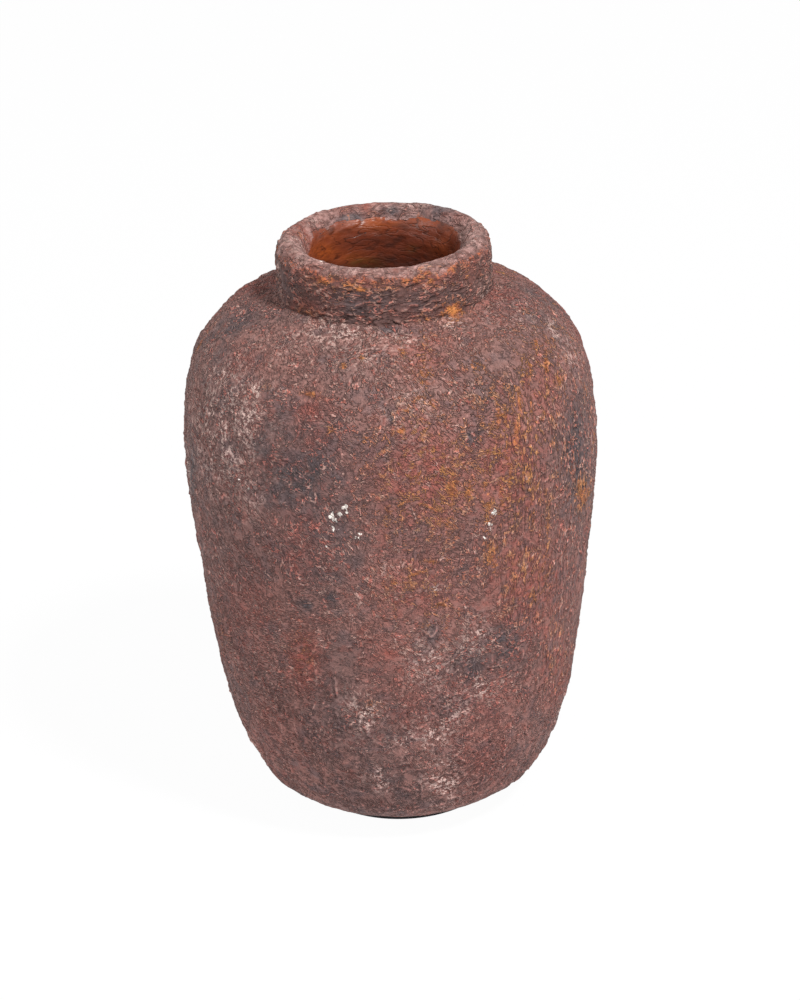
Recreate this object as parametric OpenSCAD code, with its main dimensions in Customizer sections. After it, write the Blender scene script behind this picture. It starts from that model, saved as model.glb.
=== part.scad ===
// Rustic terracotta jar vase: luted clay sections under a rough daubed coat,
// with a lacquered inside and a soft pad under the foot.
// Millimetres, +Z up, origin at the centre of the pad's underside.

/* [Body outline] */
// Height from the pad's underside to the crest of the lip
overall_h = 385; // [370:1:420]
// Diameter of the foot, over the coat
foot_d = 122; // [112:1:134]
// Largest diameter, over the coat
belly_d = 264; // [250:1:285]
// Height of the largest diameter
belly_h = 245; // [215:1:265]
// How far inside the largest radius the hip lies, where the foot's curve ends
hip_in = 21; // [15:0.5:27]
// Height of the hip
hip_h = 69; // [55:1:85]
// How far the side leans outwards at the hip, in degrees from upright
hip_lean = 18; // [12:1:24]

/* [Collar and mouth] */
// Height of the collar above the shoulder
collar_h = 35; // [30:0.5:42]
// Clear diameter of the mouth
mouth_d = 92; // [84:1:98]
// How far the lip rounds down into the mouth
lip_drop = 17; // [12:0.5:20]
// How far the collar's top rounds down to its side
edge_drop = 14; // [9:0.5:20]
// Height from the crest of the lip at which the lacquer stops
lacquer_drop = 6; // [3:0.5:9]

/* [Clay] */
// Thickness of the clay floor
floor_t = 10; // [8:0.5:14]
// How deep the wall's foot is let into the edge of the floor slab
slab_step = 3; // [1:0.5:4]
// Thickness of the clay wall
wall_t = 9; // [7:0.5:12]
// Thickness of the neck ring
neck_t = 8.5; // [6:0.5:10]
// How deep the neck ring sits in the shoulder
neck_seat = 4; // [2:0.5:5]
// Thickness of the coil laid round the neck ring
band_t = 9.2; // [6:0.1:14]
// Height of the clay pressed into the corner between wall and floor
corner_h = 14; // [8:1:20]
// Width of the clay pressed into that corner
corner_w = 12; // [8:1:20]
// Rounding under the neck, where the shoulder meets the bore
bore_round = 3; // [1:0.5:4]

/* [Coats] */
// Thickness of the rough coat
coat_t = 3; // [2:0.25:4]
// Height of the coat's daubs above the hollows between them
daub_h = 1.5; // [0.5:0.1:1.7]
// Distance from one daub to the next
daub_gap = 30; // [26:1:40]
// Thickness of the coat where it is turned into the mouth
turn_in_t = 0.8; // [0.5:0.1:1.5]
// Thickness of the lacquer
lining_t = 0.5; // [0.4:0.1:1]

/* [Base pad] */
// Thickness of the pad
pad_t = 3; // [2:0.5:5]
// How far the pad's edge stays inside the foot
pad_inset = 2; // [1:0.5:5]
// Bevel round the pad's lower edge
pad_bevel = 0.5; // [0.2:0.1:0.8]

/* [Hidden] */
$fn = 128;

coat_color = "#6f4d48";
rim_color = "#66463f";
clay_color = "#b8663c";
raw_clay_color = "#c4774a";
lacquer_color = "#8c4317";
pad_color = "#2a292b";

// Steps along each curve of the outline
curve_steps = 12;
shoulder_steps = 24;
arc_steps = 12;
// How many steps lower the seam between the two walls comes out on the inside
seam_steps = 1;

// Handles of the outline's curves, as shares of the width or height they span
foot_out_share = 0.56;
foot_up_share = 0.20;
hip_below_share = 0.85;
hip_above_share = 0.13;
belly_below_share = 0.19;
belly_above_share = 0.57;
collar_out_share = 0.84;
collar_down_share = 0.13;
// Where the crest of the lip lies between the mouth and the collar's side
crest_share = 0.61;
// How far a daub reaches round and up the body, and how far it strays, as shares of the gap
daub_wide_share = 0.66;
daub_tall_share = 0.52;
daub_stray_share = 0.18;
// Distance between the rows of daubs, as a share of the gap
daub_row_share = 0.87;
// Height of the lowest daub, and how much of the daubs stands outside the outline, as shares
daub_least_share = 0.7;
daub_proud_share = 0.3;
daub_seed = 7;
// Corners of the daubed skin round half of the body
skin_steps = 44;
// How far the tool that hollows the coat runs past its ends
overrun = 2;
// The most of the clay under the neck ring that the rounding may take
bore_round_share = 0.6;

foot_r = foot_d / 2;
belly_r = belly_d / 2;
hip_r = belly_r - hip_in;
mouth_r = mouth_d / 2;
// Clay bore of the neck, and the outer faces of the neck ring, the coil and the coat
bore_r = mouth_r + lining_t + turn_in_t;
ring_r = bore_r + neck_t;
band_r = ring_r + band_t;
collar_r = band_r + coat_t;
crest_r = mouth_r + crest_share * (collar_r - mouth_r);
collar_z = overall_h - collar_h;
lip_z = overall_h - lip_drop;
edge_z = overall_h - edge_drop;
floor_z = pad_t + floor_t;
step_z = floor_z - slab_step;

// A cubic curve through four control points, and its direction
function bezier(c, t) = pow(1 - t, 3) * c[0] + 3 * pow(1 - t, 2) * t * c[1]
    + 3 * (1 - t) * pow(t, 2) * c[2] + pow(t, 3) * c[3];
function heading(c, t) = pow(1 - t, 2) * (c[1] - c[0]) + 2 * (1 - t) * t * (c[2] - c[1])
    + pow(t, 2) * (c[3] - c[2]);
// Points at a depth square to the curve, to the axis side of it
function layer(c, steps, depth, first = 0) = [for (i = [first:steps])
    let (t = i / steps, h = heading(c, t) / norm(heading(c, t)))
        bezier(c, t) + depth * [-h.y, h.x]];
// Radius of a list of points at a height, and height at a radius
function radius_at(points, z) = lookup(z, [for (p = points) [p.y, p.x]]);
function height_at(points, r) = lookup(r, [for (p = points) [p.x, p.y]]);
// A rounded corner from a to c, drawn towards b
function corner(a, b, c, steps) = [for (i = [0:steps]) let (t = i / steps)
    pow(1 - t, 2) * a + 2 * (1 - t) * t * b + pow(t, 2) * c];
// A quarter of an ellipse, from its side to its crest
function crown(centre, width, height, steps) = [for (i = [0:steps]) let (a = 90 * i / steps)
    centre + [width * cos(a), height * sin(a)]];
function backwards(points) = [for (i = [len(points) - 1:-1:0]) points[i]];

// The outline over the coat: foot to hip, hip to belly, belly to collar
lean = [sin(hip_lean), cos(hip_lean)];
foot = [foot_r, pad_t];
hip = [hip_r, hip_h];
belly = [belly_r, belly_h];
collar_foot = [collar_r, collar_z];
foot_curve = [foot, foot + [foot_out_share * (hip_r - foot_r), foot_up_share * (hip_h - pad_t)],
              hip - hip_below_share * (hip_h - pad_t) * lean, hip];
side_curve = [hip, hip + hip_above_share * (belly_h - hip_h) * lean,
              belly - [0, belly_below_share * (belly_h - hip_h)], belly];
shoulder_curve = [belly, belly + [0, belly_above_share * (collar_z - belly_h)],
                  collar_foot + [collar_out_share * (belly_r - collar_r),
                                 -collar_down_share * (collar_z - belly_h)], collar_foot];

function lower_outline(depth) = concat(layer(foot_curve, curve_steps, depth),
                                       layer(side_curve, curve_steps, depth, 1));
function upper_outline(depth, first = 0) = layer(shoulder_curve, shoulder_steps, depth, first);
function whole_outline(depth) = concat(lower_outline(depth), upper_outline(depth, 1));

clay_lower = lower_outline(coat_t);
clay_upper = upper_outline(coat_t);
// The clay runs on below the foot's curve to the pad
foot_heading = heading(foot_curve, 0);
clay_foot = clay_lower[0] - foot_heading * (clay_lower[0].y - pad_t) / foot_heading.y;
// Flat seat on the shoulder for the neck ring and the collar band
seat = clay_upper[shoulder_steps];
ring_z = seat.y - neck_seat;
// Under the shoulder the clay runs level to the bore
inner_depth = coat_t + wall_t;
under_z = upper_outline(inner_depth)[shoulder_steps].y;
bore_edge = min(bore_round, bore_round_share * (ring_z - under_z));
// The step round the slab stands under the wall's inner face
step_r = radius_at(lower_outline(inner_depth), floor_z);
wall_foot = [radius_at(clay_lower, step_z), step_z];

// Faces of the inside at a depth off the clay's own inner face
function floor_corner(depth) = let (
    rise = floor_z + corner_h,
    face = lower_outline(inner_depth + depth),
    a = [radius_at(face, rise), rise],
    b = [radius_at(face, floor_z + depth), floor_z + depth],
    c = b - [corner_w, 0])
    corner(c, b, a, arc_steps);
function low_inside(depth) = concat(floor_corner(depth),
    [for (p = lower_outline(inner_depth + depth)) if (p.y > floor_z + corner_h) p]);
function bore_corner(depth) = let (b = [bore_r - depth, under_z - depth])
    corner(b + [bore_edge, 0], b, b + [0, bore_edge], arc_steps);
function inside(depth) = concat(low_inside(depth), upper_outline(inner_depth + depth, 1),
                                bore_corner(depth));

// The seam of the walls: at the belly outside, some steps lower inside
function below_seam(points) = [for (i = [0:len(points) - 1 - seam_steps]) points[i]];
function above_seam(points) = [for (i = [len(points) - 1 - seam_steps:len(points) - 2]) points[i]];

// The collar's crown over the coat and over the clay
coat_lip = crown([crest_r, lip_z], -(crest_r - mouth_r - lining_t), lip_drop, arc_steps);
coat_edge = crown([crest_r, edge_z], collar_r - crest_r, edge_drop, arc_steps);
clay_lip = crown([crest_r, lip_z], -(crest_r - bore_r), lip_drop - coat_t, arc_steps);
clay_edge = crown([crest_r, edge_z], band_r - crest_r, edge_drop - coat_t, arc_steps);
clay_crown = concat(clay_lip, [for (i = [arc_steps - 1:-1:0]) clay_edge[i]]);
coat_crown = concat(coat_lip, [for (i = [arc_steps - 1:-1:0]) coat_edge[i]]);
// The lacquer's face over the lip, up to the height where the brush stopped
lacquer_z = overall_h - lacquer_drop;
lacquer_face = crown([crest_r, lip_z], -(crest_r - mouth_r), lip_drop, arc_steps);
function up_to(points, z) = concat([for (p = points) if (p.y < z) p], [[radius_at(points, z), z]]);

// The daubed skin: rows of shallow domes round the body, alike on its two halves
skin = whole_outline(0);
skin_in = [for (i = [0:len(skin) - 1]) (whole_outline(coat_t)[i] - skin[i]) / coat_t];
function runs(points, i = 0, run = 0) = i == len(points) ? [] :
    let (here = i == 0 ? 0 : run + norm(points[i] - points[i - 1]))
    concat([here], runs(points, i + 1, here));
skin_run = runs(skin);
skin_length = skin_run[len(skin) - 1];
daub_rows = round(skin_length / (daub_gap * daub_row_share));
daub_pitch = skin_length / daub_rows;
// One row: for each daub its place up the skin, its place round it in degrees and its height
function daub_row(i) = let (
    up = (i + 0.5) * daub_pitch,
    radius = lookup(up, [for (k = [0:len(skin) - 1]) [skin_run[k], skin[k].x]]),
    count = max(2, round(PI * radius / daub_gap)),
    stray = rands(-daub_stray_share, daub_stray_share, 2 * count, daub_seed + i),
    height = rands(daub_least_share, 1, count, daub_seed - i))
    [for (j = [0:count - 1]) [up + stray[j] * daub_gap,
        180 / count * (j + i % 2 / 2 + stray[count + j]), height[j]]];
daubs = [for (i = [0:daub_rows - 1]) daub_row(i)];
// Height of one daub at a place, as a share of the daubs' height
function dome(d, up, radius, turn) = let (
    across = radius * PI / 180 * ((turn - d[1] + 450) % 180 - 90),
    x = across / (daub_wide_share * daub_gap),
    y = (up - d[0]) / (daub_tall_share * daub_gap))
    d[2] * (1 - x * x - y * y);
// Depth of the skin below the outline, fading out at the foot and at the collar
function hollow(up, radius, turn) = let (
    row = floor(up / daub_pitch),
    near = [max(0, row - 1):min(daub_rows - 1, row + 1)],
    top = max([for (i = near) for (d = daubs[i]) dome(d, up, radius, turn)]),
    fade = min(1, up / daub_pitch, (skin_length - up) / daub_pitch))
    daub_h * fade * (1 - daub_proud_share - max(0, top));
// The last ring lies past the collar's foot, where the hollowing tool ends the coat
past_collar = collar_foot + overrun * heading(shoulder_curve, 1) / norm(heading(shoulder_curve, 1));
function skin_ring(i) = let (
    half = [for (j = [0:skin_steps - 1]) let (turn = 180 * j / skin_steps)
        skin[i] + hollow(skin_run[i], skin[i].x, turn) * skin_in[i]])
    concat(half, half);
function ring_points(ring) = [for (j = [0:len(ring) - 1]) let (turn = 360 * j / len(ring))
    [ring[j].x * cos(turn), ring[j].x * sin(turn), ring[j].y]];

module daubed_skin() {
    columns = 2 * skin_steps;
    rings = concat([for (i = [0:len(skin) - 2]) skin_ring(i)], [[for (j = [1:columns]) past_collar]]);
    top = (len(rings) - 1) * columns;
    polyhedron(
        points = [for (ring = rings) each ring_points(ring)],
        faces = concat([[for (j = [0:columns - 1]) j]], [[for (j = [columns - 1:-1:0]) top + j]],
            [for (i = [0:len(rings) - 2]) for (j = [0:columns - 1])
                let (a = i * columns + j, b = i * columns + (j + 1) % columns)
                    each [[a, a + columns, b], [b, a + columns, b + columns]]]),
        convexity = 4);
}

module turned(points) {
    rotate_extrude() polygon(points);
}

module base_pad() {
    pad_r = foot_r - pad_inset;
    color(pad_color) turned([[0, 0], [pad_r - pad_bevel, 0], [pad_r, pad_bevel],
        [pad_r, pad_t], [0, pad_t]]);
}

module base_slab() {
    color(raw_clay_color) turned(concat([[0, pad_t], clay_foot],
        [for (p = clay_lower) if (p.y < step_z) p],
        [wall_foot, [step_r, step_z], [step_r, floor_z], [0, floor_z]]));
}

module lower_wall() {
    color(clay_color) turned(concat([wall_foot],
        [for (p = clay_lower) if (p.y > step_z) p],
        backwards(below_seam(low_inside(0))), [[step_r, floor_z], [step_r, step_z]]));
}

module upper_wall() {
    color(clay_color) turned(concat(clay_upper,
        [[ring_r, seat.y], [ring_r, ring_z], [bore_r, ring_z]],
        backwards(bore_corner(0)), backwards(upper_outline(inner_depth)),
        backwards(above_seam(low_inside(0)))));
}

module neck_ring() {
    color(raw_clay_color) turned(concat([[bore_r, ring_z]],
        [for (p = clay_crown) if (p.x < ring_r) p],
        [[ring_r, height_at(clay_crown, ring_r)], [ring_r, ring_z]]));
}

module rim_band() {
    color(clay_color) turned(concat([[ring_r, seat.y], [ring_r, height_at(clay_crown, ring_r)]],
        [for (p = clay_crown) if (p.x > ring_r) p],
        [[band_r, seat.y]]));
}

module body_coat() {
    above = collar_foot + overrun * (collar_foot - seat) / norm(collar_foot - seat);
    color(coat_color) difference() {
        daubed_skin();
        turned(concat([[0, pad_t - overrun], [clay_foot.x, pad_t - overrun], clay_foot],
            whole_outline(coat_t), [above, [0, above.y]]));
    }
}

module rim_coat() {
    color(rim_color) turned(concat([collar_foot], backwards(coat_crown), clay_crown,
        [[band_r, seat.y], seat]));
}

module inner_lining() {
    faced = up_to(lacquer_face, lacquer_z);
    laid = up_to(coat_lip, lacquer_z);
    color(lacquer_color) turned(concat([[0, floor_z]], inside(0), [[bore_r, lip_z]], laid,
        backwards(faced), [[mouth_r, lip_z - lining_t], [bore_r - lining_t, lip_z - lining_t]],
        backwards(inside(lining_t)), [[0, floor_z + lining_t]]));
}

base_pad();
base_slab();
lower_wall();
upper_wall();
neck_ring();
rim_band();
body_coat();
rim_coat();
inner_lining();
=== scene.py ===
import math

import bmesh
import bpy
import numpy as np
from mathutils import Matrix, Vector
from mathutils.bvhtree import BVHTree


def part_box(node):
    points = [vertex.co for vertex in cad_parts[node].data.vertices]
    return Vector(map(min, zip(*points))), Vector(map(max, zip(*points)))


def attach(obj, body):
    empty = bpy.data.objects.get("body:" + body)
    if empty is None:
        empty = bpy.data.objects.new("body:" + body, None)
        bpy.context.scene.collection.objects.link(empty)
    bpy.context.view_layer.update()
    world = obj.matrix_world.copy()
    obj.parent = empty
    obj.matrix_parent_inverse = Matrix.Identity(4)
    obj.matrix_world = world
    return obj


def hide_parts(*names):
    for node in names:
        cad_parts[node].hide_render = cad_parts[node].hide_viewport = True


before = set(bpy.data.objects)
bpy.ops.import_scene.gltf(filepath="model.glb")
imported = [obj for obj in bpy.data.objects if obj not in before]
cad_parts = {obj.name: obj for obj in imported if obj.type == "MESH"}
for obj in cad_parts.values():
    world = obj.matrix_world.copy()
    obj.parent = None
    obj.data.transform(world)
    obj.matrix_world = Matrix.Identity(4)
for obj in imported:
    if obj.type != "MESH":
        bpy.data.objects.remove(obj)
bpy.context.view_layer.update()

mm = 0.001
print("frame loaded")

# The photograph's frame in pixels, and the camera that took it
view = {
    "frame": (800, 1000),
    "place": (0.0, -2.0669, 1.1525),
    "aim": (0.0046, 0.0, 0.2023),
    "rollDeg": -2.15,
    "lens": 127.2,
    "film": 36.0,
}

studio = {
    "ambient": 0.36,          # how bright the white room lights the vase
    "key": {"place": (1.2, -1.4, 2.7), "aim": (0, 0, 0.2), "size": 0.45, "watts": 116},
    "fill": {"place": (-1.9, -1.1, 1.3), "aim": (0, 0, 0.2), "size": 1.4, "watts": 18},
    "floorSize": 12.0,
    "floorGlow": 0.97,        # share of the floor's look that is plain white
    "floorColour": "#f7f5f9",
}


def linear(colour):
    # sRGB hex to the linear values that the shader takes
    parts = [int(colour[i:i + 2], 16) / 255 for i in (1, 3, 5)]
    return tuple(c / 12.92 if c <= 0.04045 else ((c + 0.055) / 1.055) ** 2.4 for c in parts) + (1.0,)


def addNode(tree, kind, inputs=None, **settings):
    # a node with its settings; an input is a value, or another node's output to link
    node = tree.nodes.new(kind)
    for name, value in settings.items():
        setattr(node, name, value)
    for name, value in (inputs or {}).items():
        if isinstance(value, bpy.types.NodeSocket):
            tree.links.new(value, node.inputs[name])
        else:
            node.inputs[name].default_value = value
    return node


def newMaterial(name):
    material = bpy.data.materials.new(name)
    material.use_nodes = True
    material.node_tree.nodes.clear()
    return material, material.node_tree


def blended(tree, share, first, second):
    # two colours mixed by a share
    mixer = addNode(tree, "ShaderNodeMix", {0: share, 6: first, 7: second}, data_type="RGBA")
    return mixer.outputs[2]


def grained(tree, place, size, detail=3.0, roughness=0.55):
    # noise whose lumps are about size millimetres across
    noise = addNode(tree, "ShaderNodeTexNoise", {"Vector": place, "Scale": 1 / (size * mm), "Detail": detail,
                                                 "Roughness": roughness})
    return noise.outputs["Fac"]


def eased(tree, value, low, high, toLow=0.0, toHigh=1.0):
    # a smooth step from toLow to toHigh as value goes from low to high
    step = addNode(tree, "ShaderNodeMapRange", {0: value, 1: low, 2: high, 3: toLow, 4: toHigh},
                   interpolation_type="SMOOTHSTEP")
    return step.outputs[0]


def patches(tree, place, size, detail, low, high, toLow=0.0, toHigh=1.0, roughness=0.55):
    # patches about size millimetres across, with soft edges
    return eased(tree, grained(tree, place, size, detail, roughness), low, high, toLow, toHigh)


def worked(tree, how, *values, clamped=False):
    # a sum or other arithmetic of values
    node = addNode(tree, "ShaderNodeMath", dict(enumerate(values)), operation=how, use_clamp=clamped)
    return node.outputs[0]


def times(tree, first, *others, clamped=False):
    # the product of values
    for other in others:
        first = worked(tree, "MULTIPLY", first, other, clamped=clamped)
    return first


def crested(tree, place, size, thin, squeeze=1.0, turn=0.0):
    # thin winding crests about size millimetres apart, from 0 to 1; squeeze over 1 draws them out level and
    # under 1 upright, and turn in radians slants them
    moved = addNode(tree, "ShaderNodeMapping", {"Vector": place, "Rotation": (0, turn, 0),
                                                "Scale": (1, 1, 1 / squeeze)}, vector_type="TEXTURE")
    noise = addNode(tree, "ShaderNodeTexNoise", {"Vector": moved.outputs[0], "Scale": 1 / (size * mm),
                                                 "Detail": 1.8, "Roughness": 0.55, "Distortion": 0.25})
    away = worked(tree, "ABSOLUTE", worked(tree, "SUBTRACT", noise.outputs["Fac"], 0.5))
    return worked(tree, "SUBTRACT", 1.0, times(tree, away, thin), clamped=True)


def surface(tree, colour, rough, height, bump, inputs):
    # the shader and its bump, given as a strength and a height in millimetres
    strength, distance = bump
    bumped = addNode(tree, "ShaderNodeBump", {"Strength": strength, "Distance": distance * mm,
                                              "Height": height})
    shader = addNode(tree, "ShaderNodeBsdfPrincipled", {"Base Color": colour, "Roughness": rough,
                                                        "Normal": bumped.outputs[0], **inputs})
    addNode(tree, "ShaderNodeOutputMaterial", {"Surface": shader.outputs[0]})


def seenPlainly(tree):
    # 1 for what the camera, a reflection or a see-through piece looks at, and 0 for bounced light
    path = addNode(tree, "ShaderNodeLightPath")
    seen = worked(tree, "ADD", path.outputs["Is Camera Ray"], path.outputs["Is Glossy Ray"])
    return worked(tree, "ADD", seen, path.outputs["Is Transmission Ray"])


def deselectAll():
    if bpy.context.object and bpy.context.object.mode != "OBJECT":
        bpy.ops.object.mode_set(mode="OBJECT")
    bpy.ops.object.select_all(action="DESELECT")


# Camera, world, lamps and floor
def cameraAxes():
    eye = np.array(view["place"])
    forward = np.array(view["aim"]) - eye
    forward /= np.linalg.norm(forward)
    level = np.cross(forward, (0, 0, 1))
    level /= np.linalg.norm(level)
    upright = np.cross(level, forward)
    roll = math.radians(-view["rollDeg"])
    right = math.cos(roll) * level - math.sin(roll) * upright
    up = math.sin(roll) * level + math.cos(roll) * upright
    return eye, forward, right, up


eye, forward, right, up = cameraAxes()
focal = view["lens"] / view["film"] * max(view["frame"])      # in pixels


def makeCamera():
    data = bpy.data.cameras.new("camera")
    data.lens, data.sensor_width = view["lens"], view["film"]
    camera = bpy.data.objects.new("camera", data)
    bpy.context.scene.collection.objects.link(camera)
    turned = Matrix((right, up, -forward)).transposed().to_4x4()
    camera.matrix_world = Matrix.Translation(eye) @ turned
    bpy.context.scene.camera = camera


def makeWorld():
    world = bpy.data.worlds.new("white room")
    bpy.context.scene.world = world
    world.use_nodes = True
    tree = world.node_tree
    tree.nodes.clear()
    lit = addNode(tree, "ShaderNodeBackground", {"Color": (1, 1, 1, 1), "Strength": studio["ambient"]})
    white = addNode(tree, "ShaderNodeBackground", {"Color": (1, 1, 1, 1), "Strength": 1.0})
    mixed = addNode(tree, "ShaderNodeMixShader", {0: seenPlainly(tree), 1: lit.outputs[0],
                                                  2: white.outputs[0]})
    addNode(tree, "ShaderNodeOutputWorld", {"Surface": mixed.outputs[0]})


def makeLamp(name, lamp):
    data = bpy.data.lights.new(name, "AREA")
    data.shape, data.size, data.energy = "DISK", lamp["size"], lamp["watts"]
    light = bpy.data.objects.new(name, data)
    bpy.context.scene.collection.objects.link(light)
    light.location = lamp["place"]
    light.rotation_euler = (Vector(lamp["aim"]) - Vector(lamp["place"])).to_track_quat("-Z", "Y").to_euler()


def makeFloor():
    deselectAll()
    bpy.ops.mesh.primitive_plane_add(size=studio["floorSize"], location=(0, 0, 0))
    floor = bpy.context.object
    floor.name = "floor"
    material, tree = newMaterial("matt white backdrop paper")
    share = times(tree, seenPlainly(tree), studio["floorGlow"])
    paper = addNode(tree, "ShaderNodeBsdfDiffuse", {"Color": linear(studio["floorColour"])})
    glow = addNode(tree, "ShaderNodeEmission", {"Color": (1, 1, 1, 1), "Strength": 1.0})
    mixed = addNode(tree, "ShaderNodeMixShader", {0: share, 1: paper.outputs[0], 2: glow.outputs[0]})
    addNode(tree, "ShaderNodeOutputMaterial", {"Surface": mixed.outputs[0]})
    floor.data.materials.append(material)


bpy.context.scene.view_settings.view_transform = "Standard"
makeCamera()
makeWorld()
makeLamp("key", studio["key"])
makeLamp("fill", studio["fill"])
makeFloor()
print("camera, lamps and floor made")


# Shapes taken from the frame: every piece is round, so a section is radius and height in millimetres
def sectionOf(node, facing):
    # the rings of a node's faces that facing() accepts, as (radius, height) in millimetres
    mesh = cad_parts[node].data
    count = len(mesh.polygons)
    normals, centres = np.empty(count * 3), np.empty(count * 3)
    mesh.polygons.foreach_get("normal", normals)
    mesh.polygons.foreach_get("center", centres)
    normals, centres = normals.reshape(-1, 3), centres.reshape(-1, 3) / mm
    radius = np.hypot(centres[:, 0], centres[:, 1])
    outwards = (normals[:, :2] * centres[:, :2]).sum(1) / np.maximum(radius, 1e-6)
    wanted = facing(radius, centres[:, 2], outwards, normals[:, 2])
    corners = np.array([p.vertices[:] for p, w in zip(mesh.polygons, wanted) if w]).ravel()
    points = np.empty(len(mesh.vertices) * 3)
    mesh.vertices.foreach_get("co", points)
    points = points.reshape(-1, 3)[np.unique(corners)] / mm
    rings = np.stack([np.hypot(points[:, 0], points[:, 1]), points[:, 2]], 1)
    return np.unique(rings.round(2), axis=0)


def evenly(rings, rows, ease):
    # a section in even rows, with the corners between the rings eased: lengths along it, then its points
    fine = 0.1
    along = np.r_[0, np.cumsum(np.hypot(*np.diff(rings, axis=0).T))]
    steps = np.arange(0, along[-1] + fine, fine)
    points = np.stack([np.interp(steps, along, rings[:, k]) for k in (0, 1)], 1)
    if ease:
        reach = np.arange(-3 * ease, 3 * ease + fine, fine)
        weight = np.exp(-0.5 * (reach / ease) ** 2)
        weight /= weight.sum()
        n = len(reach) // 2
        before, after = 2 * points[0] - points[n:0:-1], 2 * points[-1] - points[-2:-n - 2:-1]
        padded = np.concatenate([before, points, after])
        points = np.stack([np.convolve(padded[:, k], weight, "valid") for k in (0, 1)], 1)
    along = np.r_[0, np.cumsum(np.hypot(*np.diff(points, axis=0).T))]
    steps = np.linspace(0, along[-1], rows + 1)
    return steps, np.stack([np.interp(steps, along, points[:, k]) for k in (0, 1)], 1)


def inOrder(points, key):
    # a section's points sorted, without those that nearly repeat the one before
    points = points[np.argsort(key, kind="stable")]
    apart = np.r_[True, np.hypot(*np.diff(points, axis=0).T) > 0.05]
    return points[apart]


def outwardOf(points):
    # unit normals of a section that runs up the outside, pointing off the clay
    slope = np.gradient(points, axis=0)
    slope /= np.linalg.norm(slope, axis=1, keepdims=True)
    return np.stack([slope[:, 1], -slope[:, 0]], 1)


def carriedRelief(daub, node, reach, everyRow, everyColumn, ease):
    # how far the node's own skin lies off the grid's even section, in mm
    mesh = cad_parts[node].data
    corners, faces = [v.co for v in mesh.vertices], [p.vertices[:] for p in mesh.polygons]
    tree = BVHTree.FromPolygons(corners, faces)
    rowsAt, columnsAt = np.arange(0, daub.shape[0], everyRow), np.arange(0, daub.columns, everyColumn)
    coarse = np.zeros((len(rowsAt), len(columnsAt)))
    facing = daub.spread(daub.outward)
    for i, row in enumerate(rowsAt):
        for k, column in enumerate(columnsAt):
            outwards = facing[row, column]
            start = (daub.points[row, column] + reach * outwards) * mm
            hit = tree.ray_cast(Vector(start), Vector(-outwards), 2 * reach * mm)
            if hit[0]:
                coarse[i, k] = reach - hit[3] / mm
    everyPlace = np.arange(daub.shape[0])
    tall = np.array([np.interp(everyPlace, rowsAt, column) for column in coarse.T]).T
    turns = np.arange(daub.columns)
    wide = np.array([np.interp(turns, np.r_[columnsAt, daub.columns], np.r_[row, row[0]]) for row in tall])
    return daub.smoothed(wide, ease)


# Noise, laid on points in millimetres
def cloud(points, size, seed):
    # smooth lumps about size across, from -1 to 1
    cells = 48
    lattice = np.random.default_rng(seed).uniform(-1, 1, (cells, cells, cells)).astype(np.float32)
    scaled = (points / size + 500).astype(np.float32)
    corner = np.floor(scaled).astype(np.int32)
    part = scaled - corner
    part = part * part * part * (part * (part * 6 - 15) + 10)
    x0, y0, z0 = (corner[..., k] % cells for k in range(3))
    x1, y1, z1 = (x0 + 1) % cells, (y0 + 1) % cells, (z0 + 1) % cells
    fx, fy, fz = (part[..., k] for k in range(3))
    near = (lattice[x0, y0, z0] * (1 - fx) + lattice[x1, y0, z0] * fx) * (1 - fy) \
        + (lattice[x0, y1, z0] * (1 - fx) + lattice[x1, y1, z0] * fx) * fy
    far = (lattice[x0, y0, z1] * (1 - fx) + lattice[x1, y0, z1] * fx) * (1 - fy) \
        + (lattice[x0, y1, z1] * (1 - fx) + lattice[x1, y1, z1] * fx) * fy
    return (near * (1 - fz) + far * fz) * 1.6


def veined(points, size, seed):
    # thin winding crests about size apart, from 0 to 1
    return np.clip(1 - 2.6 * np.abs(cloud(points, size, seed)), 0, 1)


def stepped(value, low, high):
    part = np.clip((value - low) / (high - low), 0, 1)
    return part * part * (3 - 2 * part)


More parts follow.
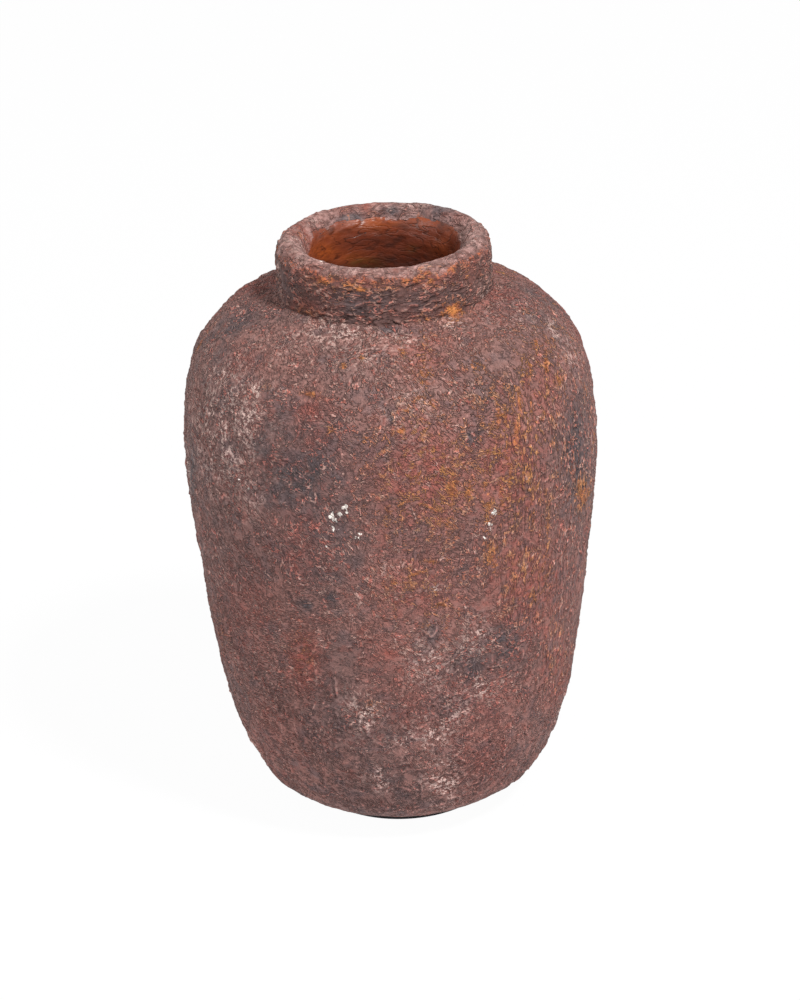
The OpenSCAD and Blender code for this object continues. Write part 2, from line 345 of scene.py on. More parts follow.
# The daubed surface is worked out on a grid: rows up a section, columns round the axis, lengths in mm
class Daub:
    def __init__(self, along, section, columns, side=1):
        self.along, self.section, self.columns = along, section, columns
        self.rowStep = along[1] - along[0]
        self.outward = side * outwardOf(section)                    # side is -1 for a wall seen from inside
        turn = np.arange(columns) / columns * 2 * math.pi
        self.azimuth = (np.degrees(turn) + 270) % 360 - 180         # 0 faces the camera, + to its right
        self.round = np.stack([np.cos(turn), np.sin(turn)], 1)
        self.points = self.spread(section)
        self.shape = self.points.shape[:2]
        line = self.points * mm - eye
        depth = line @ forward
        self.x = view["frame"][0] / 2 + focal * (line @ right) / depth
        self.y = view["frame"][1] / 2 - focal * (line @ up) / depth
        grazing = 0.06                                              # what is more edge-on counts as unseen
        self.seen = -(self.spread(self.outward) * line).sum(2) / depth > grazing
        self.hidden = np.where(self.seen, depth, 1e6)

    def spread(self, values):
        # a radial and an upright value for each row, as vectors round the whole grid
        flat = values[:, None, :1] * self.round[None]
        return np.concatenate([flat, np.repeat(values[:, None, 1:], self.columns, 1)], 2)

    def moved(self, relief):
        return self.points + relief[:, :, None] * self.spread(self.outward)

    def cellAt(self, x, y):
        # the row and column that a pixel of the photograph shows
        miss = (self.x - x) ** 2 + (self.y - y) ** 2 + self.hidden
        return np.unravel_index(np.argmin(miss), self.shape)

    def placeAt(self, x, y):
        row, column = self.cellAt(x, y)
        return self.azimuth[column], self.along[row]

    def cells(self, azimuth, along):
        row = np.clip(np.searchsorted(self.along, along), 0, self.shape[0] - 1)
        return row, np.round((azimuth - 270) / 360 * self.columns).astype(int) % self.columns

    def smoothed(self, field, size):
        reach = max(1, int(round(2.2 * size / self.rowStep)))
        steps = np.arange(-reach, reach + 1)
        weight = np.exp(-0.5 * (steps * self.rowStep / size) ** 2)
        weight /= weight.sum()
        sideways = sum(w * np.roll(field, k, 1) for w, k in zip(weight, steps))
        padded = np.pad(sideways, ((reach, reach), (0, 0)), "edge")
        return sum(w * padded[k:k + len(field)] for w, k in zip(weight, range(2 * reach + 1)))

    def away(self, azimuth, along):
        # how far each grid point lies round and along from a place
        turned = (self.azimuth - azimuth + 180) % 360 - 180
        return np.radians(turned)[None, :] * self.section[:, :1], (self.along - along)[:, None]

    def blots(self, boxes, edge=2.0):
        # soft ellipses that fill boxes of pixels: left, top, right, bottom, then a turn and a strength
        field = np.zeros(self.shape)
        for left, top, rightEnd, bottom, *more in boxes:
            turn, strength = more + [0.0, 1.0][len(more):]
            x, y = self.x - (left + rightEnd) / 2, self.y - (top + bottom) / 2
            cosine, sine = math.cos(math.radians(turn)), math.sin(math.radians(turn))
            u = (x * cosine - y * sine) / ((rightEnd - left) / 2)
            v = (x * sine + y * cosine) / ((bottom - top) / 2)
            mark = strength * np.exp(-(u * u + v * v) ** (edge / 2))
            field = np.maximum(field, np.where(self.seen, mark, 0))
        return field

    def scattered(self, count, seed, widths, heights, turns=(-20, 20), behind=72, edge=2.0):
        # ellipses of the same kind on the sides and back, which the photograph doesn't show
        rng = np.random.default_rng(seed)
        field = np.zeros(self.shape)
        for azimuth, along in zip(*self.places(count, rng)):
            wide, tall = rng.uniform(*widths) / 2, rng.uniform(*heights) / 2
            turn, strength = math.radians(rng.uniform(*turns)), rng.uniform(0.4, 1.0)
            if abs(azimuth) < behind:
                continue
            across, upwards = self.away(azimuth, along)
            near = np.abs(upwards[:, 0]) < 2.5 * (wide + tall)
            across, upwards = across[near], upwards[near]
            u = (across * math.cos(turn) + upwards * math.sin(turn)) / wide
            v = (upwards * math.cos(turn) - across * math.sin(turn)) / tall
            field[near] = np.maximum(field[near], strength * np.exp(-(u * u + v * v) ** (edge / 2)))
        return field

    def places(self, count, rng):
        # seeded places, equally many on each square millimetre
        weight = np.cumsum(self.section[:, 0])
        row = np.searchsorted(weight, rng.uniform(0, weight[-1], count))
        return rng.uniform(-180, 180, count), self.along[row] + rng.uniform(-0.5, 0.5, count) * self.rowStep

    def dotted(self, turn, along, strength, width):
        # the sum of round dots: turn in radians, heights and widths in mm
        radius = np.interp(along, self.along, self.section[:, 0])
        columnStep = 2 * math.pi * radius / self.columns
        row, column = along / self.rowStep, turn / (2 * math.pi) * self.columns
        keep = (row > 1) & (row < self.shape[0] - 2)
        row, column, columnStep = row[keep], column[keep], columnStep[keep]
        strength, width = strength[keep], width[keep]
        nearRow, nearColumn = np.round(row).astype(int), np.round(column).astype(int)
        rowReach = math.ceil(2.2 * width.max() / self.rowStep)
        columnReach = math.ceil(2.2 * width.max() / columnStep.min())
        field = np.zeros(self.shape[0] * self.columns)
        for i in range(-rowReach, rowReach + 1):
            fits = (nearRow + i >= 0) & (nearRow + i < self.shape[0])
            rowAway = ((nearRow + i - row) * self.rowStep / width) ** 2
            for k in range(-columnReach, columnReach + 1):
                away = rowAway + ((nearColumn + k - column) * columnStep / width) ** 2
                cell = (nearRow + i) * self.columns + (nearColumn + k) % self.columns
                field += np.bincount(cell[fits], (strength * np.exp(-0.5 * away))[fits], len(field))
        return field.reshape(self.shape)

    def strokes(self, azimuth, along, lean, length, bend, width, height):
        # curved ridges, each with its lean from upright in radians and its bend in radians per mm
        steps = np.arange(-0.5, 0.5, 0.5 / length.max())
        run = steps * length[:, None]
        pitch = run[:, 1:2] - run[:, :1]
        direction = lean[:, None] + bend[:, None] * run
        x, y = np.cumsum(np.sin(direction), 1) * pitch, np.cumsum(np.cos(direction), 1) * pitch
        middle = len(steps) // 2
        x, y = x - x[:, middle:middle + 1], y - y[:, middle:middle + 1]
        radius = np.interp(along, self.along, self.section[:, 0])[:, None]
        strength = height[:, None] * np.sqrt(np.cos(math.pi * steps)) * pitch / (width[:, None] * 2.507)
        turn = np.radians(azimuth + 270)[:, None] + x / radius
        return self.dotted(turn.ravel(), (along[:, None] + y).ravel(), strength.ravel(),
                           np.repeat(width, len(steps)))

    def ridge(self, pixels, width, height):
        # one ridge along places of the photograph
        azimuth, along = np.array([self.placeAt(*pixel) for pixel in pixels]).T
        radius = np.interp(along, self.along, self.section[:, 0])
        across = np.radians(np.unwrap(azimuth, period=360)) * radius.mean()
        run = np.r_[0, np.cumsum(np.hypot(np.diff(across), np.diff(along)))]
        steps = np.arange(0, run[-1], 0.4)
        turn = np.interp(steps, run, np.radians(np.unwrap(azimuth, period=360) + 270))
        share = np.sqrt(np.sin(math.pi * np.clip(steps / run[-1], 0.03, 0.97)))
        return self.dotted(turn, np.interp(steps, run, along), height * share * 0.4 / (width * 2.507),
                           np.full(len(steps), width))


def qualitiesOf(daub, zones):
    # how the daubing goes over from zone to zone: each zone has a place and a reach, then its qualities
    names = ("strokes", "height", "crumple", "grain", "spread")
    total = np.full(daub.shape, 1e-4)
    fields = {name: np.full(daub.shape, 0.5e-4) for name in names}
    direction = np.zeros(daub.shape, complex)
    for azimuth, along, reach, lean, *values in zones:
        across, upwards = daub.away(azimuth or 0, along)
        distance = upwards ** 2 + (0 if azimuth is None else across ** 2)
        weight = np.exp(-0.5 * distance / reach ** 2) + np.zeros(daub.shape)
        total += weight
        direction += weight * np.exp(2j * math.radians(lean))
        for name, value in zip(names, values):
            fields[name] += weight * value
    fields = {name: field / total for name, field in fields.items()}
    fields["lean"] = np.angle(direction) / 2
    return fields


# The coat's finer relief, with sizes and heights in mm
daubing = {
    "mostRidge": 1.3,         # height that the ridges near but don't pass
    "warp": 8,                # size of the lumps that bend the folds
    "folds": ((6.0, 3.0, 0.6), (3.2, 1.6, 0.4)),      # size, bend and share of each kind of fold
    "foldMiddle": 0.25,
    "foldHeight": 0.6,
    "grain": ((1.9, 0.06), (3.6, 0.10)),
    "lumps": (13, 2, 0.22),
    "flat": {"ridges": 0.9, "folds": 0.85, "grain": 0.6, "sunk": 0.12},       # what a flat takes away
}


def daubed(daub, qualities, flats, seed, families):
    # the ridges that a stiff brush and a thumb leave in the coat, in mm
    rng, flat = np.random.default_rng(seed), daubing["flat"]
    area = daub.section[:, 0].mean() * daub.along[-1] * 2 * math.pi / 100          # in square cm
    ridges = np.zeros(daub.shape)
    for family in families:
        azimuth, along = daub.places(int(family["perCm"] * area), rng)
        cell = daub.cells(azimuth, along)
        share = qualities["strokes"][cell] * (1 - flat["ridges"] * flats[cell])
        keep = rng.uniform(0, 1, len(azimuth)) < share
        azimuth, along, cell = azimuth[keep], along[keep], (cell[0][keep], cell[1][keep])
        count = len(azimuth)
        lean = qualities["lean"][cell] + np.radians(qualities["spread"][cell]) * rng.normal(0, 1, count)
        height = rng.lognormal(0, 0.4, count) * family["height"] * qualities["height"][cell]
        bend = rng.normal(0, family["bend"], count) * np.minimum(qualities["spread"][cell] / 50, 1.2)
        ridges += daub.strokes(azimuth, along, lean, rng.uniform(*family["length"], count), bend,
                               rng.uniform(*family["width"], count), height)
    most = daubing["mostRidge"]
    ridges = most * (1 - np.exp(-ridges / most))
    points = daub.points
    warp = np.stack([cloud(points, daubing["warp"], seed + k) for k in (1, 2, 3)], 2)
    folds = sum(share * veined(points + bend * warp, size, seed + 4 + k)
                for k, (size, bend, share) in enumerate(daubing["folds"]))
    folds = (folds - daubing["foldMiddle"]) * qualities["crumple"] * (1 - flat["folds"] * flats)
    grain = sum(high * cloud(points, size, seed + 6 + k) for k, (size, high) in enumerate(daubing["grain"]))
    grain = grain * qualities["grain"] * (1 - flat["grain"] * flats)
    size, bend, high = daubing["lumps"]
    lumps = high * cloud(points + bend * warp, size, seed + 8)
    return ridges + daubing["foldHeight"] * folds + grain + lumps - flat["sunk"] * flats


def limited(relief, least, most, soft=0.12):
    # keeps a relief between two limits with soft ends
    under = most - relief
    relief = most - 0.5 * (under + np.sqrt(under * under + soft * soft))
    over = relief - least
    return least + 0.5 * (over + np.sqrt(over * over + soft * soft))


def pickEdges(piece, wanted):
    # selects in edit mode the edges that wanted accepts
    work = bmesh.from_edit_mesh(piece.data)
    bpy.ops.mesh.select_all(action="DESELECT")
    for edge in work.edges:
        if wanted(edge):
            edge.select_set(True)
    bmesh.update_edit_mesh(piece.data)


def spunShell(name, frontRows, backRows, columns, sectors):
    # a closed wall round the axis: its section is a plane stood up and cut into rows, spun round in a few
    # sectors, and each sector is cut into columns
    deselectAll()
    bpy.ops.mesh.primitive_plane_add(size=1, location=(1.5, 0, 0.5), rotation=(math.pi / 2, 0, 0))
    piece = bpy.context.object
    piece.name = name
    bpy.ops.object.transform_apply(location=True, rotation=True, scale=True)
    bpy.ops.object.mode_set(mode="EDIT")
    bpy.ops.mesh.select_mode(type="EDGE")
    bpy.ops.mesh.select_all(action="SELECT")
    bpy.ops.mesh.delete(type="ONLY_FACE")
    for side, rows in ((2, frontRows), (1, backRows)):
        pickEdges(piece, lambda edge: all(abs(corner.co.x - side) < 0.01 for corner in edge.verts))
        bpy.ops.mesh.subdivide(number_cuts=rows - 1)
    bpy.ops.mesh.select_all(action="SELECT")
    bpy.ops.mesh.spin(steps=sectors, angle=2 * math.pi, center=(0, 0, 0), axis=(0, 0, 1), use_auto_merge=True)
    bpy.ops.mesh.select_all(action="SELECT")
    bpy.ops.mesh.remove_doubles(threshold=0.0001)
    pickEdges(piece, lambda edge: abs(edge.verts[0].co.x * edge.verts[1].co.y
                                      - edge.verts[0].co.y * edge.verts[1].co.x) > 0.01)
    bpy.ops.mesh.subdivide(number_cuts=columns // sectors - 1)
    bpy.ops.object.mode_set(mode="OBJECT")
    return piece


def shapeShell(piece, front, back, fields, crease):
    # puts a spun wall's points on its front and back grids, with the coat's marks and an unwrapped map
    mesh = piece.data
    rows, backRows, columns = len(front) - 1, len(back) - 1, front.shape[1]
    points = np.empty(len(mesh.vertices) * 3)
    mesh.vertices.foreach_get("co", points)
    points = points.reshape(-1, 3)
    outer = np.hypot(points[:, 0], points[:, 1]) > 1.5
    column = np.round(np.arctan2(points[:, 1], points[:, 0]) / (2 * math.pi) * columns).astype(int) % columns
    row = np.round(points[:, 2] * np.where(outer, rows, backRows)).astype(int)
    placed = np.where(outer[:, None], front[np.minimum(row, rows), column],
                      back[np.minimum(row, backRows), column])
    mesh.vertices.foreach_set("co", (placed * mm).ravel())
    for name, field in fields.items():
        values = np.where(outer, field[np.minimum(row, rows), column], 0)
        mesh.attributes.new(name, "FLOAT", "POINT").data.foreach_set("value", values)
    unwrapShell(mesh, row / np.where(outer, rows, backRows), column, outer, columns)
    mesh.update()
    deselectAll()
    piece.select_set(True)
    bpy.context.view_layer.objects.active = piece
    bpy.ops.object.mode_set(mode="EDIT")
    bpy.ops.mesh.select_all(action="SELECT")
    bpy.ops.mesh.remove_doubles(threshold=0.0000001)
    bpy.ops.mesh.delete_loose()
    bpy.ops.mesh.select_all(action="SELECT")
    bpy.ops.mesh.normals_make_consistent(inside=False)
    bpy.ops.object.mode_set(mode="OBJECT")
    bpy.ops.object.shade_smooth_by_angle(angle=math.radians(crease))


def unwrapShell(mesh, rise, column, outer, columns):
    # a map to bake onto: four quarter turns of the front stacked up, the rest in a strip above them
    corner = np.empty(len(mesh.loops), int)
    mesh.loops.foreach_get("vertex_index", corner)
    turns = column[corner].reshape(-1, 4)
    turns = np.where(turns.max(1, keepdims=True) - turns > columns / 2, turns + columns, turns)
    quarter = turns.min(1, keepdims=True) * 4 // columns
    u = turns * 4 / columns - quarter
    faceOuter = outer[corner].reshape(-1, 4)
    faceRise = rise[corner].reshape(-1, 4)
    strip, gap = 0.235, 0.004
    left = 1 - 4 * strip
    front = quarter * strip + gap + faceRise * (strip - 2 * gap)
    rest = 4 * strip + gap + (faceRise + quarter + faceOuter * 0.5) * 0.25 * (left - 2 * gap)
    v = np.where(faceOuter.all(1, keepdims=True), front, rest)
    u = gap + np.clip(u, 0, 1) * (1 - 2 * gap)
    layer = mesh.uv_layers.new(name="OFBake")
    layer.data.foreach_set("uv", np.stack([u.ravel(), v.ravel()], 1).ravel())


# The coat on the body
bodyCoat = {
    "bands": 6,               # pieces that the coat is cut into, each small enough for one mesh file
    "rowsInBand": 84,
    "backRows": 3,
    "columns": 1080,
    "sectors": 30,
    "ease": 3.0,
    # how far up the clay's outer faces look, from the least to the most
    "clayFaces": {"base_slab": (-1.0, -0.05), "lower_wall": (-1.0, 0.05), "upper_wall": (-0.05, 1.0)},
    "every": (4, 8),          # rows and columns from one measurement of the CAD skin to the next
    "reach": 4.0,
    "skinEase": 3.0,
    "settle": 0.5,            # how far the middle of the ridges lies inside the CAD skin
    "deepest": -2.4,
    "proud": 0.9,
    "smear": (0.7, 2.6),      # height and reach of the coat that is smeared into the corner at the collar
    # mm that the coat is thinner at the foot, and the lengths up the section between which that ends
    "footThin": (1.3, 24, 44),
    "footFlat": 0.6,          # share of its relief that it loses there
    "topFade": 3.5,           # length under the collar over which the relief comes in
    "tuck": (0.8, 2.0),       # how far the last two rows are drawn in under the collar's coat
    "zonesRound": 90,         # seeded zones, of which those past these degrees from the front count
    "zonesBehind": 98,
    "sideMargin": 0.02,
    "creaseDeg": 60,
    "seed": 11,
}

# Each zone: x and y of the photograph, reach in mm, lean in degrees, then the share of strokes kept,
# their height, crumpling, grain, and how far the strokes stray from the lean in degrees
bodyZones = [
    (212, 420, 24, 10, 0.7, 0.55, 0.35, 1.2, 60),
    (230, 350, 24, 60, 0.6, 0.50, 0.25, 1.0, 50),
    (300, 470, 26, 75, 0.6, 0.55, 0.35, 0.8, 40),
    (300, 400, 22, 80, 0.7, 0.65, 0.35, 0.9, 45),
    (235, 560, 24, 30, 0.9, 0.60, 0.25, 1.2, 35),
    (300, 640, 24, 88, 0.9, 0.45, 0.15, 0.7, 15),
    (250, 690, 22, 85, 0.8, 0.45, 0.25, 0.9, 30),
    (350, 350, 24, 70, 0.7, 0.55, 0.30, 0.9, 60),
    (360, 430, 22, 80, 0.5, 0.50, 0.40, 0.8, 60),
    (430, 380, 24, 60, 0.6, 0.80, 0.60, 0.8, 70),
    (520, 325, 22, 15, 1.0, 0.80, 0.35, 0.7, 22),
    (430, 480, 26, 20, 0.8, 0.90, 0.95, 0.9, 90),
    (470, 440, 20, 40, 0.8, 0.95, 0.90, 0.8, 90),
    (540, 420, 24, 2, 1.0, 0.95, 0.45, 0.7, 14),
    (585, 440, 20, 4, 0.9, 0.90, 0.50, 0.9, 20),
    (520, 560, 26, 8, 0.8, 0.75, 0.45, 0.8, 30),
    (570, 600, 24, 5, 0.9, 0.75, 0.40, 0.8, 22),
    (340, 540, 22, 60, 0.6, 0.55, 0.45, 0.8, 60),
    (410, 590, 24, 50, 0.7, 0.80, 0.60, 0.8, 70),
    (360, 660, 24, 80, 0.5, 0.55, 0.35, 0.7, 60),
    (495, 655, 18, 50, 0.8, 1.20, 0.60, 0.7, 60),
    (430, 700, 24, 70, 0.5, 0.45, 0.35, 0.8, 60),
    (350, 740, 24, 80, 0.4, 0.40, 0.20, 0.8, 50),
    (480, 740, 24, 20, 0.6, 0.50, 0.30, 0.8, 50),
]

# The marks, as boxes of pixels of the photograph: left, top, right, bottom, then a turn and a strength
bodyMarks = {
    "rust": [(504, 408, 509, 427), (513, 411, 520, 456), (516, 387, 525, 417), (535, 334, 539, 351),
             (545, 338, 549, 382), (531, 397, 535, 413), (555, 373, 563, 388), (446, 468, 459, 508),
             (464, 480, 474, 504), (417, 470, 421, 489), (403, 405, 411, 413), (396, 425, 406, 435),
             (394, 500, 416, 505, 35), (420, 506, 443, 511, -28), (462, 354, 493, 375, 0, 0.6),
             (404, 572, 430, 577, 12), (388, 580, 399, 585), (422, 561, 437, 566), (434, 602, 448, 609),
             (298, 391, 320, 397), (267, 382, 272, 391), (397, 347, 407, 353), (340, 362, 346, 370),
             (358, 354, 364, 360), (418, 364, 434, 388, 0, 0.8), (414, 393, 428, 400), (430, 394, 436, 412),
             (484, 540, 502, 576, 0, 0.8), (376, 500, 394, 530, 0, 0.6), (534, 326, 562, 350, 0, 0.4),
             (576, 476, 594, 514, 0, 0.9), (538, 545, 552, 592, 0, 0.6), (526, 580, 541, 614, 0, 0.5),
             (298, 636, 314, 670, 0, 0.4), (360, 700, 382, 713, 0, 0.4), (440, 520, 458, 540, 0, 0.6),
             (325, 425, 334, 434, 0, 0.7), (352, 436, 372, 446, 0, 0.5), (496, 500, 510, 514, 0, 0.7),
             (439, 303, 465, 321, 0, 1.3), (480, 470, 496, 520, 0, 0.6), (500, 430, 512, 470, 0, 0.6),
             (496, 395, 502, 440, 0, 0.9), (508, 440, 514, 500, 0, 0.8), (521, 430, 526, 480, 0, 0.8),
             (498, 470, 505, 520, 0, 0.8), (484, 500, 491, 540, 0, 0.7), (530, 480, 536, 540, 0, 0.7),
             (545, 500, 551, 560, 0, 0.7), (512, 540, 519, 600, 0, 0.6), (528, 350, 533, 392, 0, 0.7)],
    "red": [(292, 396, 330, 424), (286, 630, 320, 690), (282, 554, 302, 574), (252, 452, 302, 472, 0, 0.7),
            (300, 424, 340, 452, 0, 0.6), (370, 420, 480, 530, 0, 0.75), (470, 410, 550, 530, 0, 0.75),
            (395, 325, 450, 385, 0, 0.5), (370, 550, 460, 630, 0, 0.6), (480, 520, 570, 650, 0, 0.7),
            (520, 345, 575, 430, 0, 0.5), (275, 510, 325, 585, 0, 0.5), (215, 560, 275, 660, 0, 0.4),
            (540, 620, 578, 720, 0, 0.6), (395, 685, 445, 735, 0, 0.5), (450, 720, 510, 790, 0, 0.5),
            (360, 630, 410, 700, 0, 0.5), (235, 690, 300, 780, 0, 0.3), (250, 400, 280, 430, 0, 0.4),
            (430, 670, 520, 740, 0, 0.5), (225, 345, 262, 372, 0, 0.5)],
    "amber": [(370, 400, 480, 545, 0, 0.9), (468, 370, 560, 545), (500, 325, 570, 420, 0, 0.8),
              (395, 325, 450, 385, 0, 0.5), (380, 545, 465, 630, 0, 0.6), (480, 530, 560, 620, 0, 0.6),
              (415, 600, 450, 640, 0, 0.6), (540, 600, 575, 700, 0, 0.4), (262, 380, 274, 392, 0, 0.6),
              (300, 388, 322, 400, 0, 0.8), (286, 630, 312, 680, 0, 0.4)],
    "ash": [(248, 378, 345, 565, 0, 0.5), (252, 430, 274, 464), (256, 440, 348, 520), (296, 598, 316, 614),
            (322, 592, 339, 607),
            (262, 392, 300, 430, 0, 0.7), (300, 425, 356, 470, 0, 0.6), (296, 500, 340, 560, 0, 0.6),
            (460, 426, 484, 447), (387, 410, 396, 425), (562, 390, 592, 510), (318, 496, 350, 545, 0, 0.6),
            (328, 543, 364, 578, 0, 0.6), (486, 622, 524, 668, -30), (450, 645, 492, 695, -30, 0.8),
            (424, 618, 442, 652, 0, 0.8), (295, 555, 335, 605, 0, 0.5), (250, 406, 292, 442, 0, 0.6),
            # (374, 326, 406, 334) on the next line is partly a grey patch and partly painted shade in the
            # crease under the collar
            (374, 326, 406, 334), (300, 690, 355, 745, 0, 0.4), (425, 690, 475, 725, 0, 0.6),
            (203, 343, 238, 367, 0, 0.6), (318, 348, 348, 374, 0, 0.5), (465, 376, 505, 412, 0, 0.5),
            (380, 760, 420, 800, 0, 0.4), (330, 430, 385, 470, 0, 0.5)],
    "dust": [(292, 316, 380, 346, 0, 0.75), (372, 330, 428, 347, 0, 0.65), (186, 365, 262, 490, 0, 0.8),
             (440, 316, 464, 331), (232, 378, 264, 402), (230, 404, 262, 432), (220, 420, 242, 452, 0, 0.8),
             (203, 453, 232, 482, 0, 0.7), (354, 697, 378, 734), (391, 731, 419, 754), (419, 715, 451, 750),
             (368, 768, 392, 792), (425, 758, 462, 804), (408, 638, 449, 688, 0, 0.7), (422, 586, 449, 593),
             (453, 638, 482, 662, 0, 0.8), (468, 678, 494, 700), (438, 698, 472, 732, 0, 0.6),
             (343, 688, 377, 722, 0, 0.6), (246, 332, 304, 362, 0, 0.3), (328, 338, 404, 377, 0, 0.4),
             (198, 363, 242, 382, 0, 0.7), (463, 618, 492, 642, 0, 0.7), (378, 558, 402, 577, 0, 0.4),
             # the last two boxes on the next line, at the top right of the shoulder, are a painted sheen of
             # light from above in the dust colour
             (240, 480, 262, 520, 0, 0.5), (480, 300, 540, 330, 0, 0.4), (560, 330, 580, 380, 0, 0.4),
             (380, 380, 440, 440, 0, 0.35)],
    "chips": [(326, 511, 338, 526), (329, 520, 337, 535), (339, 503, 352, 516), (334, 511, 346, 521),
              (354, 532, 364, 543), (491, 507, 499, 519), (485, 522, 495, 531), (482, 533, 490, 542),
              (236, 478, 242, 485), (246, 486, 249, 496), (423, 464, 428, 469), (324, 545, 328, 549),
              (335, 528, 340, 533), (215, 462, 223, 469, 0, 0.7)],
    "flats": [(313, 374, 330, 407), (262, 373, 282, 387), (404, 604, 428, 630), (255, 434, 271, 460),
              (296, 598, 316, 614), (430, 378, 452, 402), (345, 533, 374, 572), (398, 498, 418, 521),
              (478, 348, 522, 374), (325, 636, 368, 702), (402, 558, 442, 602, 0, 0.6), (538, 438, 562, 472),
              (458, 498, 482, 522), (298, 328, 352, 346, 0, 0.7), (468, 588, 502, 617), (356, 604, 380, 628)],
}

# The long ridges that stand out: pixels along each, then its width and height in mm
bodyRidges = [
    ([(254, 467), (262, 460), (274, 456), (286, 459), (297, 466)], 0.6, 0.6),
    ([(350, 638), (358, 645), (368, 649), (378, 646)], 0.6, 0.6),
    ([(353, 665), (357, 658), (365, 657), (368, 664)], 0.6, 0.6),
    ([(425, 627), (426, 634), (432, 637), (437, 630), (436, 622)], 0.8, 1.1),
    ([(398, 582), (408, 577), (420, 572), (431, 571)], 0.7, 0.9),
    ([(434, 606), (440, 602), (447, 606), (449, 613)], 0.7, 0.9),
    ([(448, 470), (452, 482), (458, 492), (455, 504)], 0.8, 0.9),
    ([(466, 482), (470, 494), (474, 502)], 0.8, 1.0),
    ([(300, 395), (310, 392), (320, 394)], 0.6, 0.8),
    ([(268, 412), (280, 406), (292, 405), (306, 399)], 0.6, 0.5),
    ([(470, 432), (478, 438), (486, 436)], 0.7, 0.9),
    ([(503, 410), (505, 418), (508, 426)], 0.7, 0.9),
    ([(515, 412), (517, 432), (519, 454)], 0.7, 0.9),
    ([(537, 332), (538, 350)], 0.6, 0.6),
    ([(546, 340), (547, 360), (549, 380)], 0.6, 0.6),
    ([(396, 508), (404, 502), (412, 496)], 0.6, 0.8),
    ([(424, 505), (432, 508), (440, 513)], 0.6, 0.8),
    ([(300, 608), (310, 618), (318, 620), (328, 616)], 0.6, 0.5),
    ([(286, 585), (292, 596), (296, 610)], 0.6, 0.5),
    ([(486, 650), (494, 640), (503, 632), (512, 628)], 0.9, 1.1),
    ([(480, 662), (490, 668), (500, 664), (508, 655)], 0.9, 1.1),
    ([(496, 672), (506, 676), (516, 668)], 0.9, 1.0),
    ([(470, 640), (482, 634), (494, 624)], 0.8, 0.9),
]

# What is strewn over the sides and back: how many, then their widths, heights and turns in mm and degrees
strewn = {
    "rust": (130, (2, 6), (4, 22), (-30, 30)),
    "red": (60, (14, 60), (18, 70), (-40, 40)),
    "amber": (45, (14, 60), (18, 70), (-40, 40)),
    "ash": (55, (8, 40), (10, 50), (-40, 40)),
    "dust": (90, (6, 30), (8, 34), (-40, 40)),
    "chips": (34, (1.2, 4), (1.2, 6), (-60, 60)),
    "flats": (60, (8, 26), (8, 30), (-50, 50)),
}

# What the brush leaves: ridges, short ridges, crumbs and grooves, with how many each square cm and mm
bodyFamilies = [
    {"perCm": 2.0, "height": 1.05, "length": (5, 18), "bend": 0.09, "width": (0.50, 0.66)},
    {"perCm": 2.6, "height": 0.60, "length": (3, 12), "bend": 0.07, "width": (0.42, 0.52)},
    {"perCm": 1.5, "height": 1.60, "length": (0.8, 2.0), "bend": 0.0, "width": (0.5, 0.8)},
    {"perCm": 1.0, "height": -0.5, "length": (1.0, 6), "bend": 0.1, "width": (0.45, 0.7)},
]

# Chips and flats have harder edges, and the flats are broken up by lumps
markEdges = {"soft": 2.0, "chips": 3.0, "flats": 3.0}
brokenFlats = {"lumps": ((7, 1.0), (3, 0.6)), "edge": (-0.5, 0.4), "least": 0.15, "more": 0.75}

# How far the relief stands out of what lies round it, in mm, for a full crest, or for full painted shade in a
# pit
standing = {"ease": 1.5, "crest": 0.45, "pitShade": 0.3}

# Strokes count as ordered when they stray little, in degrees, and high or crumpled ones count as rough
stroking = {"ordered": (22, 62), "high": 0.75, "crumpled": 0.45, "roughest": 1.3}


def marksOf(daub, marks, seed, share=1.0):
    fields = {}
    for k, (name, boxes) in enumerate(marks.items()):
        edge = markEdges.get(name, markEdges["soft"])
        count, widths, heights, turns = strewn[name]
        strewnMarks = daub.scattered(int(count * share), seed + k, widths, heights, turns, edge=edge)
        fields[name] = np.maximum(daub.blots(boxes, edge), strewnMarks)
    patchy = sum(strength * cloud(daub.points, size, seed + 60 + k)
                 for k, (size, strength) in enumerate(brokenFlats["lumps"]))
    fields["flats"] = fields["flats"] * (brokenFlats["least"]
                                         + brokenFlats["more"] * stepped(patchy, *brokenFlats["edge"]))
    return fields


def crestsAndPits(daub, relief):
    # where the surface stands out of what lies round it, and where it falls back
    above = relief - daub.smoothed(relief, standing["ease"])
    # the second field becomes painted shade in the coat's colour
    return {"crest": np.clip(above / standing["crest"], 0, 1), "pitShade": np.clip(-above / standing["pitShade"], 0, 1)}


def strokeWay(qualities):
    # how much the strokes run upright or level at each place, each from 0 to 1, and how rough it is
    ordered = 1 - stepped(qualities["spread"], *stroking["ordered"])
    turn = np.cos(2 * qualities["lean"])
    rough = stroking["high"] * qualities["height"] + stroking["crumpled"] * qualities["crumple"]
    return {"upright": ordered * np.clip(turn, 0, 1), "level": ordered * np.clip(-turn, 0, 1),
            "rough": np.clip(rough, 0, stroking["roughest"])}


def bodySkin(thickness):
    # the coat's even outline: the clay's outer face moved out by the coat's thickness
    faces = [sectionOf(node, lambda r, z, out, upwards: (out > 0.05) & (upwards > least) & (upwards < most))
             for node, (least, most) in bodyCoat["clayFaces"].items()]
    rings = np.concatenate(faces)
    clay = evenly(inOrder(rings, rings[:, 1]), 900, 0)[1]
    skin = clay + thickness * outwardOf(clay)
    ends = [corner.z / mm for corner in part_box("body_coat")]
    kept = skin[(skin[:, 1] > ends[0] + 0.1) & (skin[:, 1] < ends[1] - 0.1)]
    low, high = ((np.interp(end, skin[:, 1], skin[:, 0]), end) for end in ends)
    return np.array([low, *kept, high])


